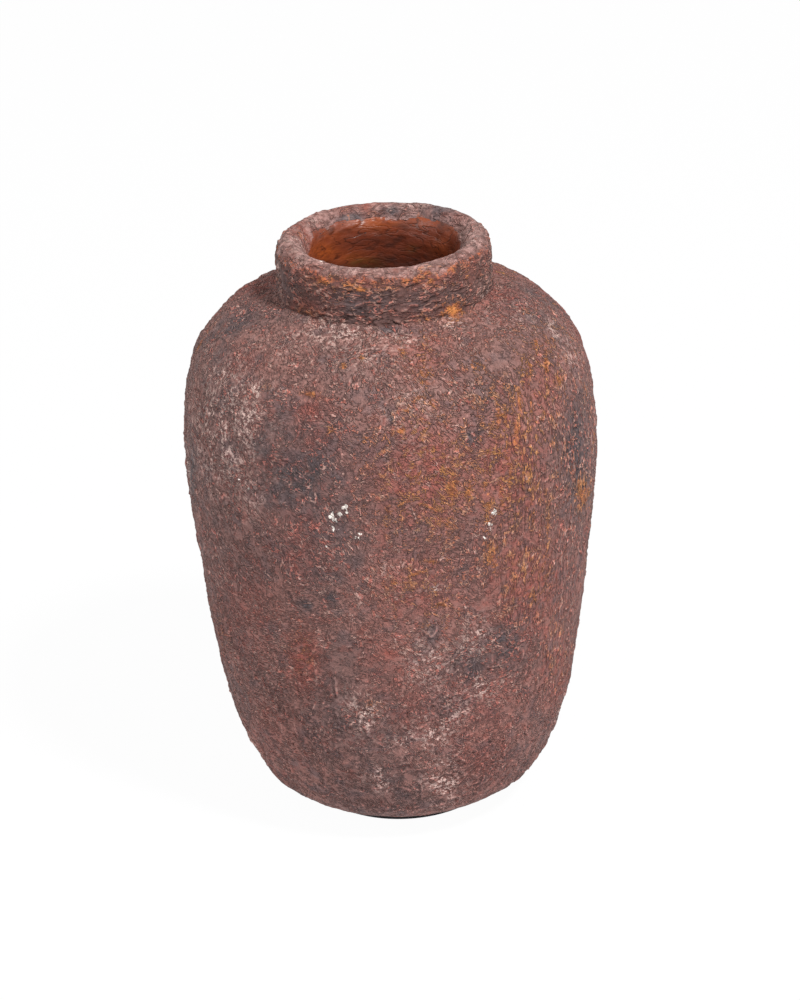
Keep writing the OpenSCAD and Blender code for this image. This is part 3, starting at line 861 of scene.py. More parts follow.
def smear(daub, run, size, seed):
    # coat pressed into the corner between the collar and the body, run being the distance from it
    height, reach = size
    uneven = 1 + 0.6 * cloud(daub.points, 6, seed) + 0.4 * cloud(daub.points, 2.5, seed + 1)
    return height * np.clip(uneven, 0.4, 2) * np.exp(-(run / reach) ** 2)[:, None]


def coatThickness():
    return (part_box("rim_coat")[1].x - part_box("rim_band")[1].x) / mm


def bodyQualities(daub):
    # the zones of the photograph, and others like them in seeded places on the sides and back
    rng = np.random.default_rng(bodyCoat["seed"])
    zones = [(*daub.placeAt(x, y), *qualities) for x, y, *qualities in bodyZones]
    behind = []
    for azimuth, place in zip(*daub.places(bodyCoat["zonesRound"], rng)):
        like = zones[rng.integers(len(zones))]
        if abs(azimuth) > bodyCoat["zonesBehind"]:
            behind.append((azimuth, place, *like[2:]))
    return qualitiesOf(daub, zones + behind)


def settledOnBody(daub, relief):
    # the relief laid on the CAD skin inside its box, thinner at the foot, and smeared against the collar
    size, along = bodyCoat, daub.along
    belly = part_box("body_coat")[1].x / mm
    most = np.minimum(size["proud"], (belly - size["sideMargin"] - daub.section[:, :1])
                      / np.maximum(daub.outward[:, :1], 0.2))
    carried = carriedRelief(daub, "body_coat", size["reach"], *size["every"], size["skinEase"])
    relief = limited(carried + relief - relief.mean() - size["settle"], size["deepest"], most)
    thinner, *footReach = size["footThin"]
    nearFoot = 1 - stepped(along, *footReach)[:, None]
    relief = limited(relief * (1 - size["footFlat"] * nearFoot) - thinner * nearFoot, size["deepest"], most)
    relief *= stepped(along[-1] - along, 0, size["topFade"])[:, None]
    return relief + smear(daub, along[-1] - along, size["smear"], size["seed"] + 40)


def makeBodyCoat():
    size, thickness = bodyCoat, coatThickness()
    along, section = evenly(bodySkin(thickness), size["bands"] * size["rowsInBand"], size["ease"])
    daub = Daub(along, section, size["columns"])
    qualities = bodyQualities(daub)
    fields = marksOf(daub, bodyMarks, size["seed"] + 20)
    relief = daubed(daub, qualities, fields["flats"], size["seed"], bodyFamilies)
    for pixels, width, height in bodyRidges:
        relief += daub.ridge(pixels, width, height)
    fields.update(crestsAndPits(daub, relief))
    fields.update(strokeWay(qualities))
    relief = settledOnBody(daub, relief)
    front = daub.moved(relief)
    for row, inwards in zip((-2, -1), size["tuck"]):
        front[row] -= inwards * np.c_[daub.round, np.zeros(daub.columns)]
    pieces = []
    for band in range(size["bands"]):
        rows = slice(band * size["rowsInBand"], (band + 1) * size["rowsInBand"] + 1)
        backAt = np.linspace(rows.start, rows.stop - 1, size["backRows"] + 1).astype(int)
        back = daub.spread(section[backAt] - thickness * daub.outward[backAt])
        piece = spunShell("body_coat_band_" + str(band + 1), size["rowsInBand"], size["backRows"],
                          size["columns"], size["sectors"])
        shapeShell(piece, front[rows], back, {name: field[rows] for name, field in fields.items()},
                   size["creaseDeg"])
        pieces.append(piece)
    return relief, pieces


# The coat on the collar
rimCoat = {
    "rows": 104,
    "backRows": 12,
    "columns": 840,
    "sectors": 28,
    "ease": 0.9,
    "settle": 0.7,
    "lipRise": 0.02,          # how close to the CAD crest the daubs come
    "lipDepth": 0.8,          # thickness of the coat where it ends inside the mouth
    "proud": 0.6,
    "deepest": 0.75,          # share of its thickness that the relief may cut away
    "edgeAt": 0.42,           # how far up the face looks where the trowelled top ends
    "edgeWide": 0.13,
    "edgeHigh": 0.8,
    "edgeWander": ((9, 0.10), (3, 0.08)),
    "crumbs": (2.6, 0.9, 0.55, 1.4),      # size, strength, mean and most of the crumbs along that edge
    "edgeColour": (3, -0.3, 0.3),         # size of its patches of colour, and how they ease
    "topStep": (-0.02, 0.14),
    "lowFade": 3.0,           # length from its lower end over which the relief comes in
    "smear": (1.3, 2.8),
    "tuck": 1.5,              # how deep its lower end is sunk into the body's coat
    "strewnShare": 0.1,       # strewn marks on the collar, as a share of the body's
    "creaseDeg": 60,
    "seed": 71,
    "clayCentre": (57, 364),  # a point inside the collar's clay
}

# Zones up the section: share of its length, reach in mm, then as on the body
rimZones = [
    (0.02, 3, 82, 0.8, 0.70, 0.40, 1.0, 24),
    (0.16, 5, 84, 1.0, 0.90, 0.60, 1.0, 18),
    (0.30, 4, 80, 1.0, 0.95, 0.80, 1.0, 30),
    (0.40, 3, 84, 0.9, 0.80, 0.60, 0.9, 24),
    (0.55, 6, 88, 0.9, 0.55, 0.25, 0.7, 10),
    (0.72, 6, 84, 0.8, 0.45, 0.25, 0.6, 16),
    (0.90, 5, 80, 0.4, 0.30, 0.15, 0.5, 30),
]

rimMarks = {
    "rust": [(312, 275, 340, 285), (340, 281, 356, 288, 0, 0.7), (354, 286, 366, 293),
             (372, 279, 386, 286, 0, 0.6), (398, 276, 414, 284, 0, 0.8), (410, 275, 424, 283),
             (428, 277, 438, 286), (448, 264, 458, 272), (466, 268, 474, 280, 0, 0.6),
             (442, 301, 465, 320, 0, 1.3), (420, 316, 432, 324, 0, 0.6), (288, 307, 316, 319, 0, 0.35),
             (417, 214, 425, 219), (436, 221, 441, 228), (360, 206, 370, 212, 0, 0.6),
             (278, 238, 290, 250, 0, 0.3)],
    "red": [(290, 262, 330, 282, 0, 0.6), (330, 272, 400, 292, 0, 0.6), (400, 268, 470, 288, 0, 0.6),
            (455, 250, 486, 276, 0, 0.4), (278, 240, 300, 262, 0, 0.3), (480, 236, 490, 262, 0, 0.4),
            (286, 300, 330, 320, 0, 0.8), (400, 304, 450, 322, 0, 0.4), (430, 206, 465, 226, 0, 0.5),
            (330, 206, 370, 220, 0, 0.4)],
    "amber": [(326, 274, 368, 296, 0, 0.8), (405, 264, 474, 286, 0, 0.8), (440, 300, 466, 322),
              (366, 282, 412, 292, 0, 0.5), (412, 312, 432, 324, 0, 0.5)],
    "ash": [(336, 212, 366, 224, 0, 1.3), (380, 204, 400, 217, 0, 1.3), (407, 216, 438, 228, 0, 1.3),
            (320, 288, 400, 322, 0, 0.7), (272, 262, 300, 310, 0, 0.4), (400, 290, 440, 320, 0, 0.5),
            (436, 282, 470, 310, 0, 0.4),
            # the next box is partly a grey patch and partly painted shade in the crease under the collar
            (430, 318, 440, 326, 0, 0.8)],
    "dust": [(317, 254, 326, 263), (290, 232, 312, 262, 0, 0.35), (325, 262, 380, 276, 0, 0.3),
             (400, 264, 440, 276, 0, 0.3), (462, 226, 484, 246, 0, 0.4), (300, 212, 330, 226, 0, 0.35),
             (370, 202, 440, 208, 0, 0.35), (440, 316, 462, 326), (480, 280, 492, 300, 0, 0.5),
             (296, 316, 330, 326, 0, 0.5)],
    "chips": [(318, 256, 325, 262)],
    "flats": [(300, 236, 314, 258, 0, 0.5), (336, 214, 362, 222), (384, 206, 396, 214), (412, 218, 430, 226)],
}


rimFamilies = [
    {"perCm": 1.8, "height": 0.75, "length": (8, 30), "bend": 0.04, "width": (0.6, 0.95)},
    {"perCm": 1.4, "height": 0.90, "length": (2, 7), "bend": 0.08, "width": (0.5, 0.7)},
    {"perCm": 1.2, "height": 1.30, "length": (0.8, 2.0), "bend": 0.0, "width": (0.5, 0.8)},
    {"perCm": 1.2, "height": -0.8, "length": (3, 14), "bend": 0.06, "width": (0.45, 0.7)},
]


def rimSkin():
    # the coat's outer face, from its lower end outside to where it ends inside the mouth
    middleR, middleZ = rimCoat["clayCentre"]

    def outside(r, z, out, upwards):
        return (out * (r - middleR) + upwards * (z - middleZ) > 0) & (upwards > -0.3)

    skin = sectionOf("rim_coat", outside)
    return inOrder(skin, np.arctan2(skin[:, 1] - middleZ, skin[:, 0] - middleR))


def trowelledTopWithPaintedHighlight(daub):
    # the trowelled top ends in a crumbling edge where the face turns from looking up to looking out; the part
    # that looks up is also coloured lighter, a painted highlight of light from above
    size, facingUp = rimCoat, daub.outward[:, 1:]
    wander = sum(strength * cloud(daub.points, lump, size["seed"] + 50 + k)
                 for k, (lump, strength) in enumerate(size["edgeWander"]))
    outerHalf = daub.section[:, :1] > size["clayCentre"][0]
    edge = np.exp(-((facingUp - size["edgeAt"] + wander) / size["edgeWide"]) ** 2) * outerHalf
    low, high = (size["edgeAt"] + step for step in size["topStep"])
    return edge, np.where(outerHalf, stepped(facingUp + wander, low, high), 1.0)


def makeRimCoat():
    size = rimCoat
    along, section = evenly(rimSkin(), size["rows"], size["ease"])
    daub = Daub(along, section, size["columns"])
    zones = [(None, share * along[-1], *qualities) for share, *qualities in rimZones]
    qualities = qualitiesOf(daub, zones)
    fields = marksOf(daub, rimMarks, size["seed"] + 20, size["strewnShare"])
    relief = daubed(daub, qualities, fields["flats"], size["seed"], rimFamilies)
    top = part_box("rim_coat")[1].z / mm
    crest = along[np.argmax(section[:, 1])]
    depth = np.interp(along, [crest, along[-1]], [coatThickness(), size["lipDepth"]])[:, None]
    most = (top - size["lipRise"] - section[:, 1:]) / np.maximum(daub.outward[:, 1:], 0.2)
    most = np.minimum(size["proud"], most)
    # the top field smooths the relief there and also carries the painted highlight on the collar's top
    edge, fields["top"] = trowelledTopWithPaintedHighlight(daub)
    lump, strength, mean, highest = size["crumbs"]
    crumbs = mean + strength * cloud(daub.points, lump, size["seed"] + 52)
    relief += size["edgeHigh"] * edge * np.clip(crumbs, 0, highest)
    relief = limited(relief - relief.mean() - size["settle"], -size["deepest"] * depth, most)
    relief *= stepped(along, 0, size["lowFade"])[:, None]
    relief += smear(daub, along, size["smear"], size["seed"] + 40)
    lump, *step = size["edgeColour"]
    fields["edge"] = edge * stepped(cloud(daub.points, lump, size["seed"] + 53), *step)
    fields.update(crestsAndPits(daub, relief))
    fields.update(strokeWay(qualities))
    backAt = np.linspace(0, size["rows"], size["backRows"] + 1).astype(int)
    back = daub.spread(section[backAt] - depth[backAt] * daub.outward[backAt])
    front = daub.moved(relief)
    front[0, :, 2] -= size["tuck"]
    back[0, :, 2] -= size["tuck"]
    piece = spunShell("rim_coat_daubed", size["rows"], size["backRows"], size["columns"], size["sectors"])
    shapeShell(piece, front, back, fields, size["creaseDeg"])
    return daub, relief, piece


# The lacquer inside, from the middle of the floor up the wall and the neck, and over the lip
lining = {
    "columns": 420,
    "sectors": 28,
    "deepRows": 66,
    "neckRows": 44,
    "everyLipRow": 2,
    "thick": 0.5,
    "mean": 0.35,             # how far the brushed face lies off the CAD face, and its least and most
    "limits": (0.02, 1.3),
    "rings": (6.5, 0.22),     # spacing and height of the turning rings, and the lumps that bend them
    "ringLumps": ((18, 2.2), (40, 3)),
    "neckFrom": 326,          # height from which the rows lie closer together
    "neckLumps": ((9, 0.30, 2), (3.6, 0.12, 4)),      # sizes, heights and seeds of lumps in the neck
    "neckFade": (315, 340),
    "broadLumps": (24, 0.25),
    "floorFade": 20,          # length over which the relief comes in at the floor's middle
    "lipFade": (-1, 3),
    "lipThick": 0.32,
    "lipLumps": (6, 0.7, 0.3),            # their size, and the steady and the uneven share of the thickness
    "lipBare": 0.3,           # how far the lip without lacquer lies back
    "edgeWander": ((14, 1.6), (4, 1.0)),  # lengths over which its edge wanders up and down, and how far
    "edgeRise": 0.6,          # most that it wanders up
    "edgeSoft": 0.5,
    "edgeLow": 3.2,           # how far up the lip the lacquer comes at the sides and the front
    "edgeBelow": 0.8,         # how far under the last row it stays where it is highest
    # degrees from the front between which its edge rises to full height, on the left and on the right
    "highLeft": (98, 124),
    "highRight": (80, 110),
    "creaseDeg": 70,
    "seed": 131,
}

liningMarks = {
    "amber": [(345, 214, 404, 232), (318, 228, 348, 244, 0, 0.6), (308, 240, 340, 264),
              (330, 250, 372, 268, 0, 0.7), (404, 214, 440, 228, 0, 0.6), (428, 236, 456, 262, 0, 0.6),
              (440, 222, 460, 240, 0, 0.5)],
    "umber": [(336, 228, 410, 250, 0, 0.8), (376, 252, 440, 270), (396, 220, 412, 236, 0, 0.7),
              (330, 262, 400, 272), (448, 236, 460, 258, 0, 0.6)],
    "olive": [(348, 258, 378, 267), (406, 245, 418, 252, 0, 0.8), (366, 262, 384, 268, 0, 0.6)],
}


def liningSection():
    # the visible side of the lacquer, from the axis to where it meets the lip: the wall in order of angle
    # round the jar's middle, and the neck in order of height
    middle = 200
    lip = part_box("upper_wall")[1].z / mm
    mouth = (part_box("rim_coat")[1].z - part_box("inner_lining")[1].z) / mm
    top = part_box("inner_lining")[1].z / mm

    def inside(r, z, out, upwards):
        return (z < top - 2 * mouth + 0.2) & (upwards * (middle - z) - out * r > 0)

    points = sectionOf("inner_lining", inside)
    angle = np.degrees(np.arctan2(points[:, 1] - middle, points[:, 0]))
    low = points[:, 1] < lip
    return inOrder(points, np.where(low, angle, 360 + points[:, 1]))


def liningRows():
    # the section in rows that lie closer together in the neck
    size = lining
    fine, points = evenly(liningSection(), 4000, 0.4)
    bend = fine[np.argmax((points[:, 1] > size["neckFrom"]) & (fine > fine[-1] / 2))]
    deep = np.linspace(0, bend, size["deepRows"] + 1)
    along = np.r_[deep, np.linspace(bend, fine[-1], size["neckRows"] + 1)[1:]]
    return along, np.stack([np.interp(along, fine, points[:, k]) for k in (0, 1)], 1)


def brushedLacquer(daub):
    # the lacquer follows the clay's turning rings and lies in lumps in the neck
    size, points, along, seed = lining, daub.points, daub.along, lining["seed"]
    spacing, ringHigh = size["rings"]
    bent = sum(bend * cloud(points, lump, seed + k) for k, (lump, bend) in enumerate(size["ringLumps"]))
    relief = size["mean"] + ringHigh * np.sin((points[:, :, 2] + bent) * 2 * math.pi / spacing)
    inNeck = stepped(daub.section[:, 1], *size["neckFade"])[:, None]
    for lump, high, shift in size["neckLumps"]:
        relief += high * cloud(points, lump, seed + shift) * inNeck
    lump, high = size["broadLumps"]
    relief = limited(relief + high * cloud(points, lump, seed + 3), *size["limits"])
    return relief * stepped(along, 0, size["floorFade"])[:, None] \
        * stepped(along[-1] - along, *size["lipFade"])[:, None]


def lacquerOnLip(daub, rim, rimRelief):
    # rows over the lip down to a brushed edge, with the way that they face and what the lip's marks say there
    size, step = lining, rim.columns // lining["columns"]
    seed = size["seed"]
    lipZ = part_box("inner_lining")[1].z / mm
    rows = [k for k in range(len(rim.along) - 1, 0, -size["everyLipRow"])
            if rim.section[k, 1] < lipZ and rim.along[k] > rim.along[-1] / 2]
    rows.append(rows[-1] - size["everyLipRow"])
    run = (rim.along[-1] - rim.along[rows])[:, None]
    wander = sum(high * cloud(daub.points[-1:], lump, seed + 5 + k)
                 for k, (lump, high) in enumerate(size["edgeWander"]))
    behind = np.where(daub.azimuth < 0, stepped(-daub.azimuth, *size["highLeft"]),
                      stepped(daub.azimuth, *size["highRight"]))
    highest = run[-1] - size["edgeBelow"] - size["edgeLow"]
    ends = size["edgeLow"] + highest * behind + np.minimum(wander, size["edgeRise"])
    cover = stepped(ends - run, -size["edgeSoft"], size["edgeSoft"])
    cover[-1] = 0
    points, normals = rim.points[rows][:, ::step], rim.spread(rim.outward)[rows][:, ::step]
    lump, steady, uneven = size["lipLumps"]
    thick = size["lipThick"] * (steady + uneven * cloud(points, lump, seed + 7))
    relief = rimRelief[rows][:, ::step] + thick * cover - size["lipBare"] * (1 - cover)
    marks = {name: rim.blots(boxes)[rows][:, ::step] for name, boxes in liningMarks.items()}
    return points + relief[:, :, None] * normals, normals, marks


def makeLining(rim, rimRelief):
    size = lining
    daub = Daub(*liningRows(), size["columns"], side=-1)
    lip, lipFacing, lipMarks = lacquerOnLip(daub, rim, rimRelief)
    front = np.concatenate([daub.moved(brushedLacquer(daub)), lip])
    facing = np.concatenate([daub.spread(daub.outward), lipFacing])
    fields = {name: np.concatenate([daub.blots(boxes), lipMarks[name]])
              for name, boxes in liningMarks.items()}
    if len(front) % 2 == 0:
        # the back has every other row of the front, so their number has to be odd
        front, facing, *values = (np.delete(rows, 1, 0) for rows in (front, facing, *fields.values()))
        fields = dict(zip(fields, values))
    back = (front - size["thick"] * facing)[::2]
    piece = spunShell("inner_lining_brushed", len(front) - 1, len(back) - 1, size["columns"], size["sectors"])
    shapeShell(piece, front, back, fields, size["creaseDeg"])
    return piece


# The foam pad under the foot
pad = {"sides": 160, "edge": 0.9, "edgeSteps": 4, "give": 0.25, "giveSteps": 2, "near": 0.1, "creaseDeg": 40}


def makePad():
    low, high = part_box("base_pad")
    radius, height = high.x, high.z - low.z
    deselectAll()
    bpy.ops.mesh.primitive_cylinder_add(vertices=pad["sides"], radius=radius, depth=height,
                                        location=(0, 0, low.z + height / 2))
    piece = bpy.context.object
    piece.name = "base_pad_foam"
    bpy.ops.object.transform_apply(location=True, rotation=True, scale=True)
    bpy.ops.object.mode_set(mode="EDIT")
    bpy.ops.mesh.select_mode(type="EDGE")
    pickEdges(piece, lambda edge: all(corner.co.z < low.z + pad["near"] * mm for corner in edge.verts))
    bpy.ops.mesh.bevel(offset=pad["edge"] * mm, offset_type="OFFSET", segments=pad["edgeSteps"], profile=0.5)
    pickEdges(piece, lambda edge: all(corner.co.z > high.z - pad["near"] * mm for corner in edge.verts))
    bpy.ops.mesh.bevel(offset=pad["give"] * mm, offset_type="OFFSET", segments=pad["giveSteps"], profile=0.5)
    bpy.ops.mesh.select_all(action="SELECT")
    bpy.ops.mesh.normals_make_consistent(inside=False)
    bpy.ops.object.mode_set(mode="OBJECT")
    bpy.ops.object.shade_smooth_by_angle(angle=math.radians(pad["creaseDeg"]))
    return piece


# Materials
coatColours = {
    "base": "#775650",
    "warm": "#865e56",
    "cool": "#685150",
    "red": "#8d4a3f",
    "ash": "#4e4345",
    "dust": "#dfbfb4",
    "rust": "#c0743f",
    "rustDeep": "#9a5538",
    "rustBright": "#e08f4a",
    # painted shade: the colour laid in the pits and at the feet of the ridges
    "pitShade": "#2f1d1b",
    "crest": "#d2a79b",
    "redCrest": "#c06b5f",
    "orangeCrest": "#ce8d57",
    "chip": "#ece2d8",
    "flat": "#76564f",
    # painted highlight: the lighter colour of the collar's upward-facing top, standing in for light from
    # above
    "top": "#ae8780",
    "edge": "#b5603c",
}

collarColours = {
    "base": "#583c36",
    "warm": "#5f413b",
    "cool": "#462f2b",
    "red": "#804438",
    "crest": "#b78e82",
    "redCrest": "#a46054",
    "orangeCrest": "#bd7c4a",
}

# How the fine ridges stand, big ones and then small: spacing and height in mm, and how thin the crests are
bodyRidging = [(6.5, 3.0, 15.0), (3.4, 2.1, 11.0)]
rimRidging = [(9.0, 2.0, 14.0), (4.5, 1.2, 11.0)]

# The brush's strokes: their spacing as a share of the ridges', how far they are drawn out, and their slant
strokeKinds = {"upright": (0.8, 0.26, 0.0), "level": (1.4, 3.0, 0.0), "slanted": (1.3, 2.8, 0.75)}

# The patches in which strokes are level, slanted or there at all: size as a share of the ridges' spacing, the
# noise's detail, and from where to where the patches' edges ease
strokePatches = {"level": (2.6, 2, 0.44, 0.52), "slanted": (3.4, 2, 0.46, 0.53), "kept": (1.9, 2, 0.36, 0.50)}

# The coat's patches: size in mm, the noise's detail, from where to where their edges ease, and the shares at
# both ends
coatPatches = {
    "warm": (46, 2, 0.40, 0.60),
    "cool": (13, 3, 0.48, 0.66, 0, 0.8),
    # patches of the painted highlight on the collar's top
    "trowelled": (4.5, 3, 0.32, 0.60, 0.95, 0.25),
    "red": (7, 4, 0.38, 0.56, 0.35, 1.1),
    "strayRed": (9, 3, 0.56, 0.70, 0, 0.35),
    "ash": (8, 4, 0.36, 0.54, 0.35, 1.1),
    # patches that break up the painted pit shade
    "pitShade": (1.6, 3, 0.30, 0.62, 0.15, 0.6),
    "bigRidges": (15, 3, 0.40, 0.55, 0.25, 1.0),
    "smallRidges": (6, 3, 0.38, 0.56, 0.2, 1.0),
    "crest": (6, 3, 0.36, 0.54, 0.4, 1.0),
    "orange": (6.5, 3, 0.44, 0.56),
    "flecks": (2.7, 5, 0.51, 0.55, 0, 1.0, 0.70),
    "dust": (9, 4, 0.42, 0.53, 0.15, 1.0),
    "rust": (3.8, 3, 0.42, 0.58),
    "edge": (1.6, 3, 0.46, 0.60, 0, 0.7),
    "shade": (0.8, 2, 0.28, 0.72, 0.76, 1.24),
    "rough": (4.5, 3, 0.3, 0.7, 0.62, 0.82),
}

# The marks that the coat's mesh carries
coatMarks = ("rust", "red", "amber", "ash", "dust", "chips", "flats", "crest", "pitShade", "upright", "level",
             "rough", "top", "edge")

coatLook = {
    "flatRidges": 0.85,       # how much of the fine ridges a flat takes away
    "flatTint": 0.3,          # and how much it changes the colour and the roughness
    "flatGloss": 0.12,
    "topRidges": 0.8,         # share of the ridges and of the crests that the trowelled top leaves
    "topCrests": 0.75,
    "roughRidges": (0.52, 0.56),          # how the ridges grow where the relief is rough
    "footRidges": (0.02, 0.11, 0.75),     # heights in m between which they grow from this share to full
    "mostRed": 0.9,
    # the next four set the painted shade along the feet of the fine ridges, standing in for their shadows
    "smallInPits": 0.8,       # how far the small ridges count where the feet of the ridges are dark
    "footRise": (0.06, 0.24),             # heights on a ridge between which its dark foot comes and goes
    "footFall": (0.26, 0.44),
    "footShade": 0.5,
    "bigCrests": (0.34, 0.64),            # heights on a ridge between which its crest takes the brush
    "smallCrests": (0.42, 0.74, 0, 0.85),
    "reliefCrests": (0.35, 1.0, 0, 0.5),
    "hue": (3.0, 2),          # noise that makes a crest pink or red
    "redHue": 0.08,
    "redCrests": (0.44, 0.58, 0, 0.9),
    "amberCrests": (1.3, 0.03),
    "rustCrests": 1.6,
    "dustAndSheen": 0.9,
    "streaks": (2.4, 4),      # noise that frays the rust and the chips
    "rustFray": 2.6,
    "rustOnCrests": 0.3,
    "rustEdge": (0.50, 1.10, 0, 0.75),
    "rustNear": (0.05, 0.25),
    "rustBright": (0.95, 1.2),
    "rustCover": 0.9,
    "chipFray": 3.2,
    "chipEdge": (0.92, 1.05),
    "chipNear": (0.1, 0.3),
    "fine": (1.6, 3, 0.25),   # noise and height in mm of the fine grain, and of the grit
    "grit": (0.8, 2, 0.14),
}


def attribute(tree, name):
    return addNode(tree, "ShaderNodeAttribute", attribute_name=name).outputs["Fac"]


def objectPlace(tree):
    return addNode(tree, "ShaderNodeTexCoord").outputs["Object"]


def heightOf(tree, place):
    return addNode(tree, "ShaderNodeSeparateXYZ", {0: place}).outputs["Z"]


def tintsOf(colours):
    return {name: linear(colour) for name, colour in colours.items()}


def patchesOf(tree, place, kinds):
    return {name: patches(tree, place, *values) for name, values in kinds.items()}


def brushedRidges(tree, place, size, thin, mark):
    # strokes that change their way from patch to patch, but not where the coat was brushed upright or level
    tall, wide, slant = (crested(tree, place, size * share, thin, squeeze, turn)
                         for share, squeeze, turn in strokeKinds.values())
    way, turned, kept = (patches(tree, place, size * share, *values)
                         for share, *values in strokePatches.values())
    way = worked(tree, "SUBTRACT", worked(tree, "ADD", way, mark["level"]), mark["upright"], clamped=True)
    brushed = worked(tree, "ADD", mark["level"], mark["upright"])
    turned = worked(tree, "SUBTRACT", turned, brushed, clamped=True)
    mixed = addNode(tree, "ShaderNodeMix", {0: way, 2: tall, 3: wide}).outputs[0]
    mixed = addNode(tree, "ShaderNodeMix", {0: turned, 2: mixed, 3: slant}).outputs[0]
    return times(tree, mixed, kept)


def coatRidges(tree, place, mark, patch, ridging):
    # the big and the small ridges: lower on flats, on the trowelled top, at the foot and where it is smooth
    look = coatLook
    freedom = worked(tree, "SUBTRACT", 1.0, times(tree, mark["flats"], look["flatRidges"]))
    onTop = eased(tree, mark["top"], 0, 1, 1, look["topRidges"])
    rough = worked(tree, "MULTIPLY_ADD", mark["rough"], *look["roughRidges"])
    offFoot = eased(tree, heightOf(tree, place), *look["footRidges"])
    freedom = times(tree, freedom, onTop, rough, offFoot)
    return [times(tree, brushedRidges(tree, place, size, thin, mark), patch[kind], freedom)
            for kind, (size, _, thin) in zip(("bigRidges", "smallRidges"), ridging)]


def groundColour(tree, mark, patch, tint):
    # the coat between the ridges: its base, then the painted highlight on the collar's top, the red, the ash
    # and the flats
    colour = blended(tree, patch["warm"], tint["base"], tint["warm"])
    colour = blended(tree, patch["cool"], colour, tint["cool"])
    # painted highlight on the collar's upward-facing top
    colour = blended(tree, times(tree, mark["top"], patch["trowelled"]), colour, tint["top"])
    redness = worked(tree, "ADD", times(tree, mark["red"], patch["red"]), patch["strayRed"])
    colour = blended(tree, worked(tree, "MINIMUM", redness, coatLook["mostRed"]), colour, tint["red"])
    colour = blended(tree, times(tree, mark["ash"], patch["ash"], clamped=True), colour, tint["ash"])
    return blended(tree, times(tree, mark["flats"], coatLook["flatTint"]), colour, tint["flat"])


def paintedPitShade(tree, mark, patch, big, small):
    # painted shade: darker colour in the pits of the relief and along the feet of the fine ridges, where
    # their shadows fall
    look = coatLook
    ridges = worked(tree, "MAXIMUM", big, times(tree, small, look["smallInPits"]))
    shadedFeet = times(tree, eased(tree, ridges, *look["footRise"]), eased(tree, ridges, *look["footFall"], 1, 0))
    pits = times(tree, mark["pitShade"], patch["pitShade"])
    return worked(tree, "MAXIMUM", pits, times(tree, shadedFeet, look["footShade"]))


def brushedCrests(tree, mark, patch, big, small):
    # where the crests caught the dry brush
    look = coatLook
    crest = eased(tree, big, *look["bigCrests"])
    crest = worked(tree, "MAXIMUM", crest, eased(tree, small, *look["smallCrests"]))
    crest = worked(tree, "MAXIMUM", crest, eased(tree, mark["crest"], *look["reliefCrests"]))
    return times(tree, crest, patch["crest"], eased(tree, mark["top"], 0, 1, 1, look["topCrests"]))


def crestColour(tree, place, mark, patch, tint):
    # pink, red or orange
    look = coatLook
    hue = worked(tree, "MULTIPLY_ADD", mark["red"], look["redHue"], grained(tree, place, *look["hue"]))
    colour = blended(tree, eased(tree, hue, *look["redCrests"]), tint["crest"], tint["redCrest"])
    amber = worked(tree, "MULTIPLY_ADD", mark["amber"], *look["amberCrests"])
    orange = times(tree, patch["orange"], amber, clamped=True)
    orange = worked(tree, "MAXIMUM", orange, times(tree, mark["rust"], look["rustCrests"]), clamped=True)
    return blended(tree, orange, colour, tint["orangeCrest"])


def markedColour(tree, place, mark, patch, tint, colour, crest):
    # the dust, which is partly a painted sheen, the rust, the collar's crumbling edge and the chips
    look = coatLook
    # the dust colour, which at the top right of the shoulder is a painted sheen
    dustAndSheen = times(tree, mark["dust"], times(tree, patch["flecks"], patch["dust"]), look["dustAndSheen"])
    colour = blended(tree, dustAndSheen, colour, tint["dust"])
    streaky = worked(tree, "SUBTRACT", grained(tree, place, *look["streaks"]), 0.5)
    stain = worked(tree, "MULTIPLY_ADD", crest, look["rustOnCrests"], mark["rust"])
    stain = eased(tree, worked(tree, "MULTIPLY_ADD", streaky, look["rustFray"], stain), *look["rustEdge"])
    stain = times(tree, stain, eased(tree, mark["rust"], *look["rustNear"]), look["rustCover"])
    rust = blended(tree, patch["rust"], tint["rustDeep"], tint["rust"])
    rust = blended(tree, eased(tree, mark["rust"], *look["rustBright"]), rust, tint["rustBright"])
    colour = blended(tree, stain, colour, rust)
    colour = blended(tree, times(tree, mark["edge"], patch["edge"]), colour, tint["edge"])
    ragged = worked(tree, "MULTIPLY_ADD", streaky, look["chipFray"], mark["chips"])
    chip = times(tree, eased(tree, ragged, *look["chipEdge"]), eased(tree, mark["chips"], *look["chipNear"]))
    return blended(tree, chip, colour, tint["chip"])


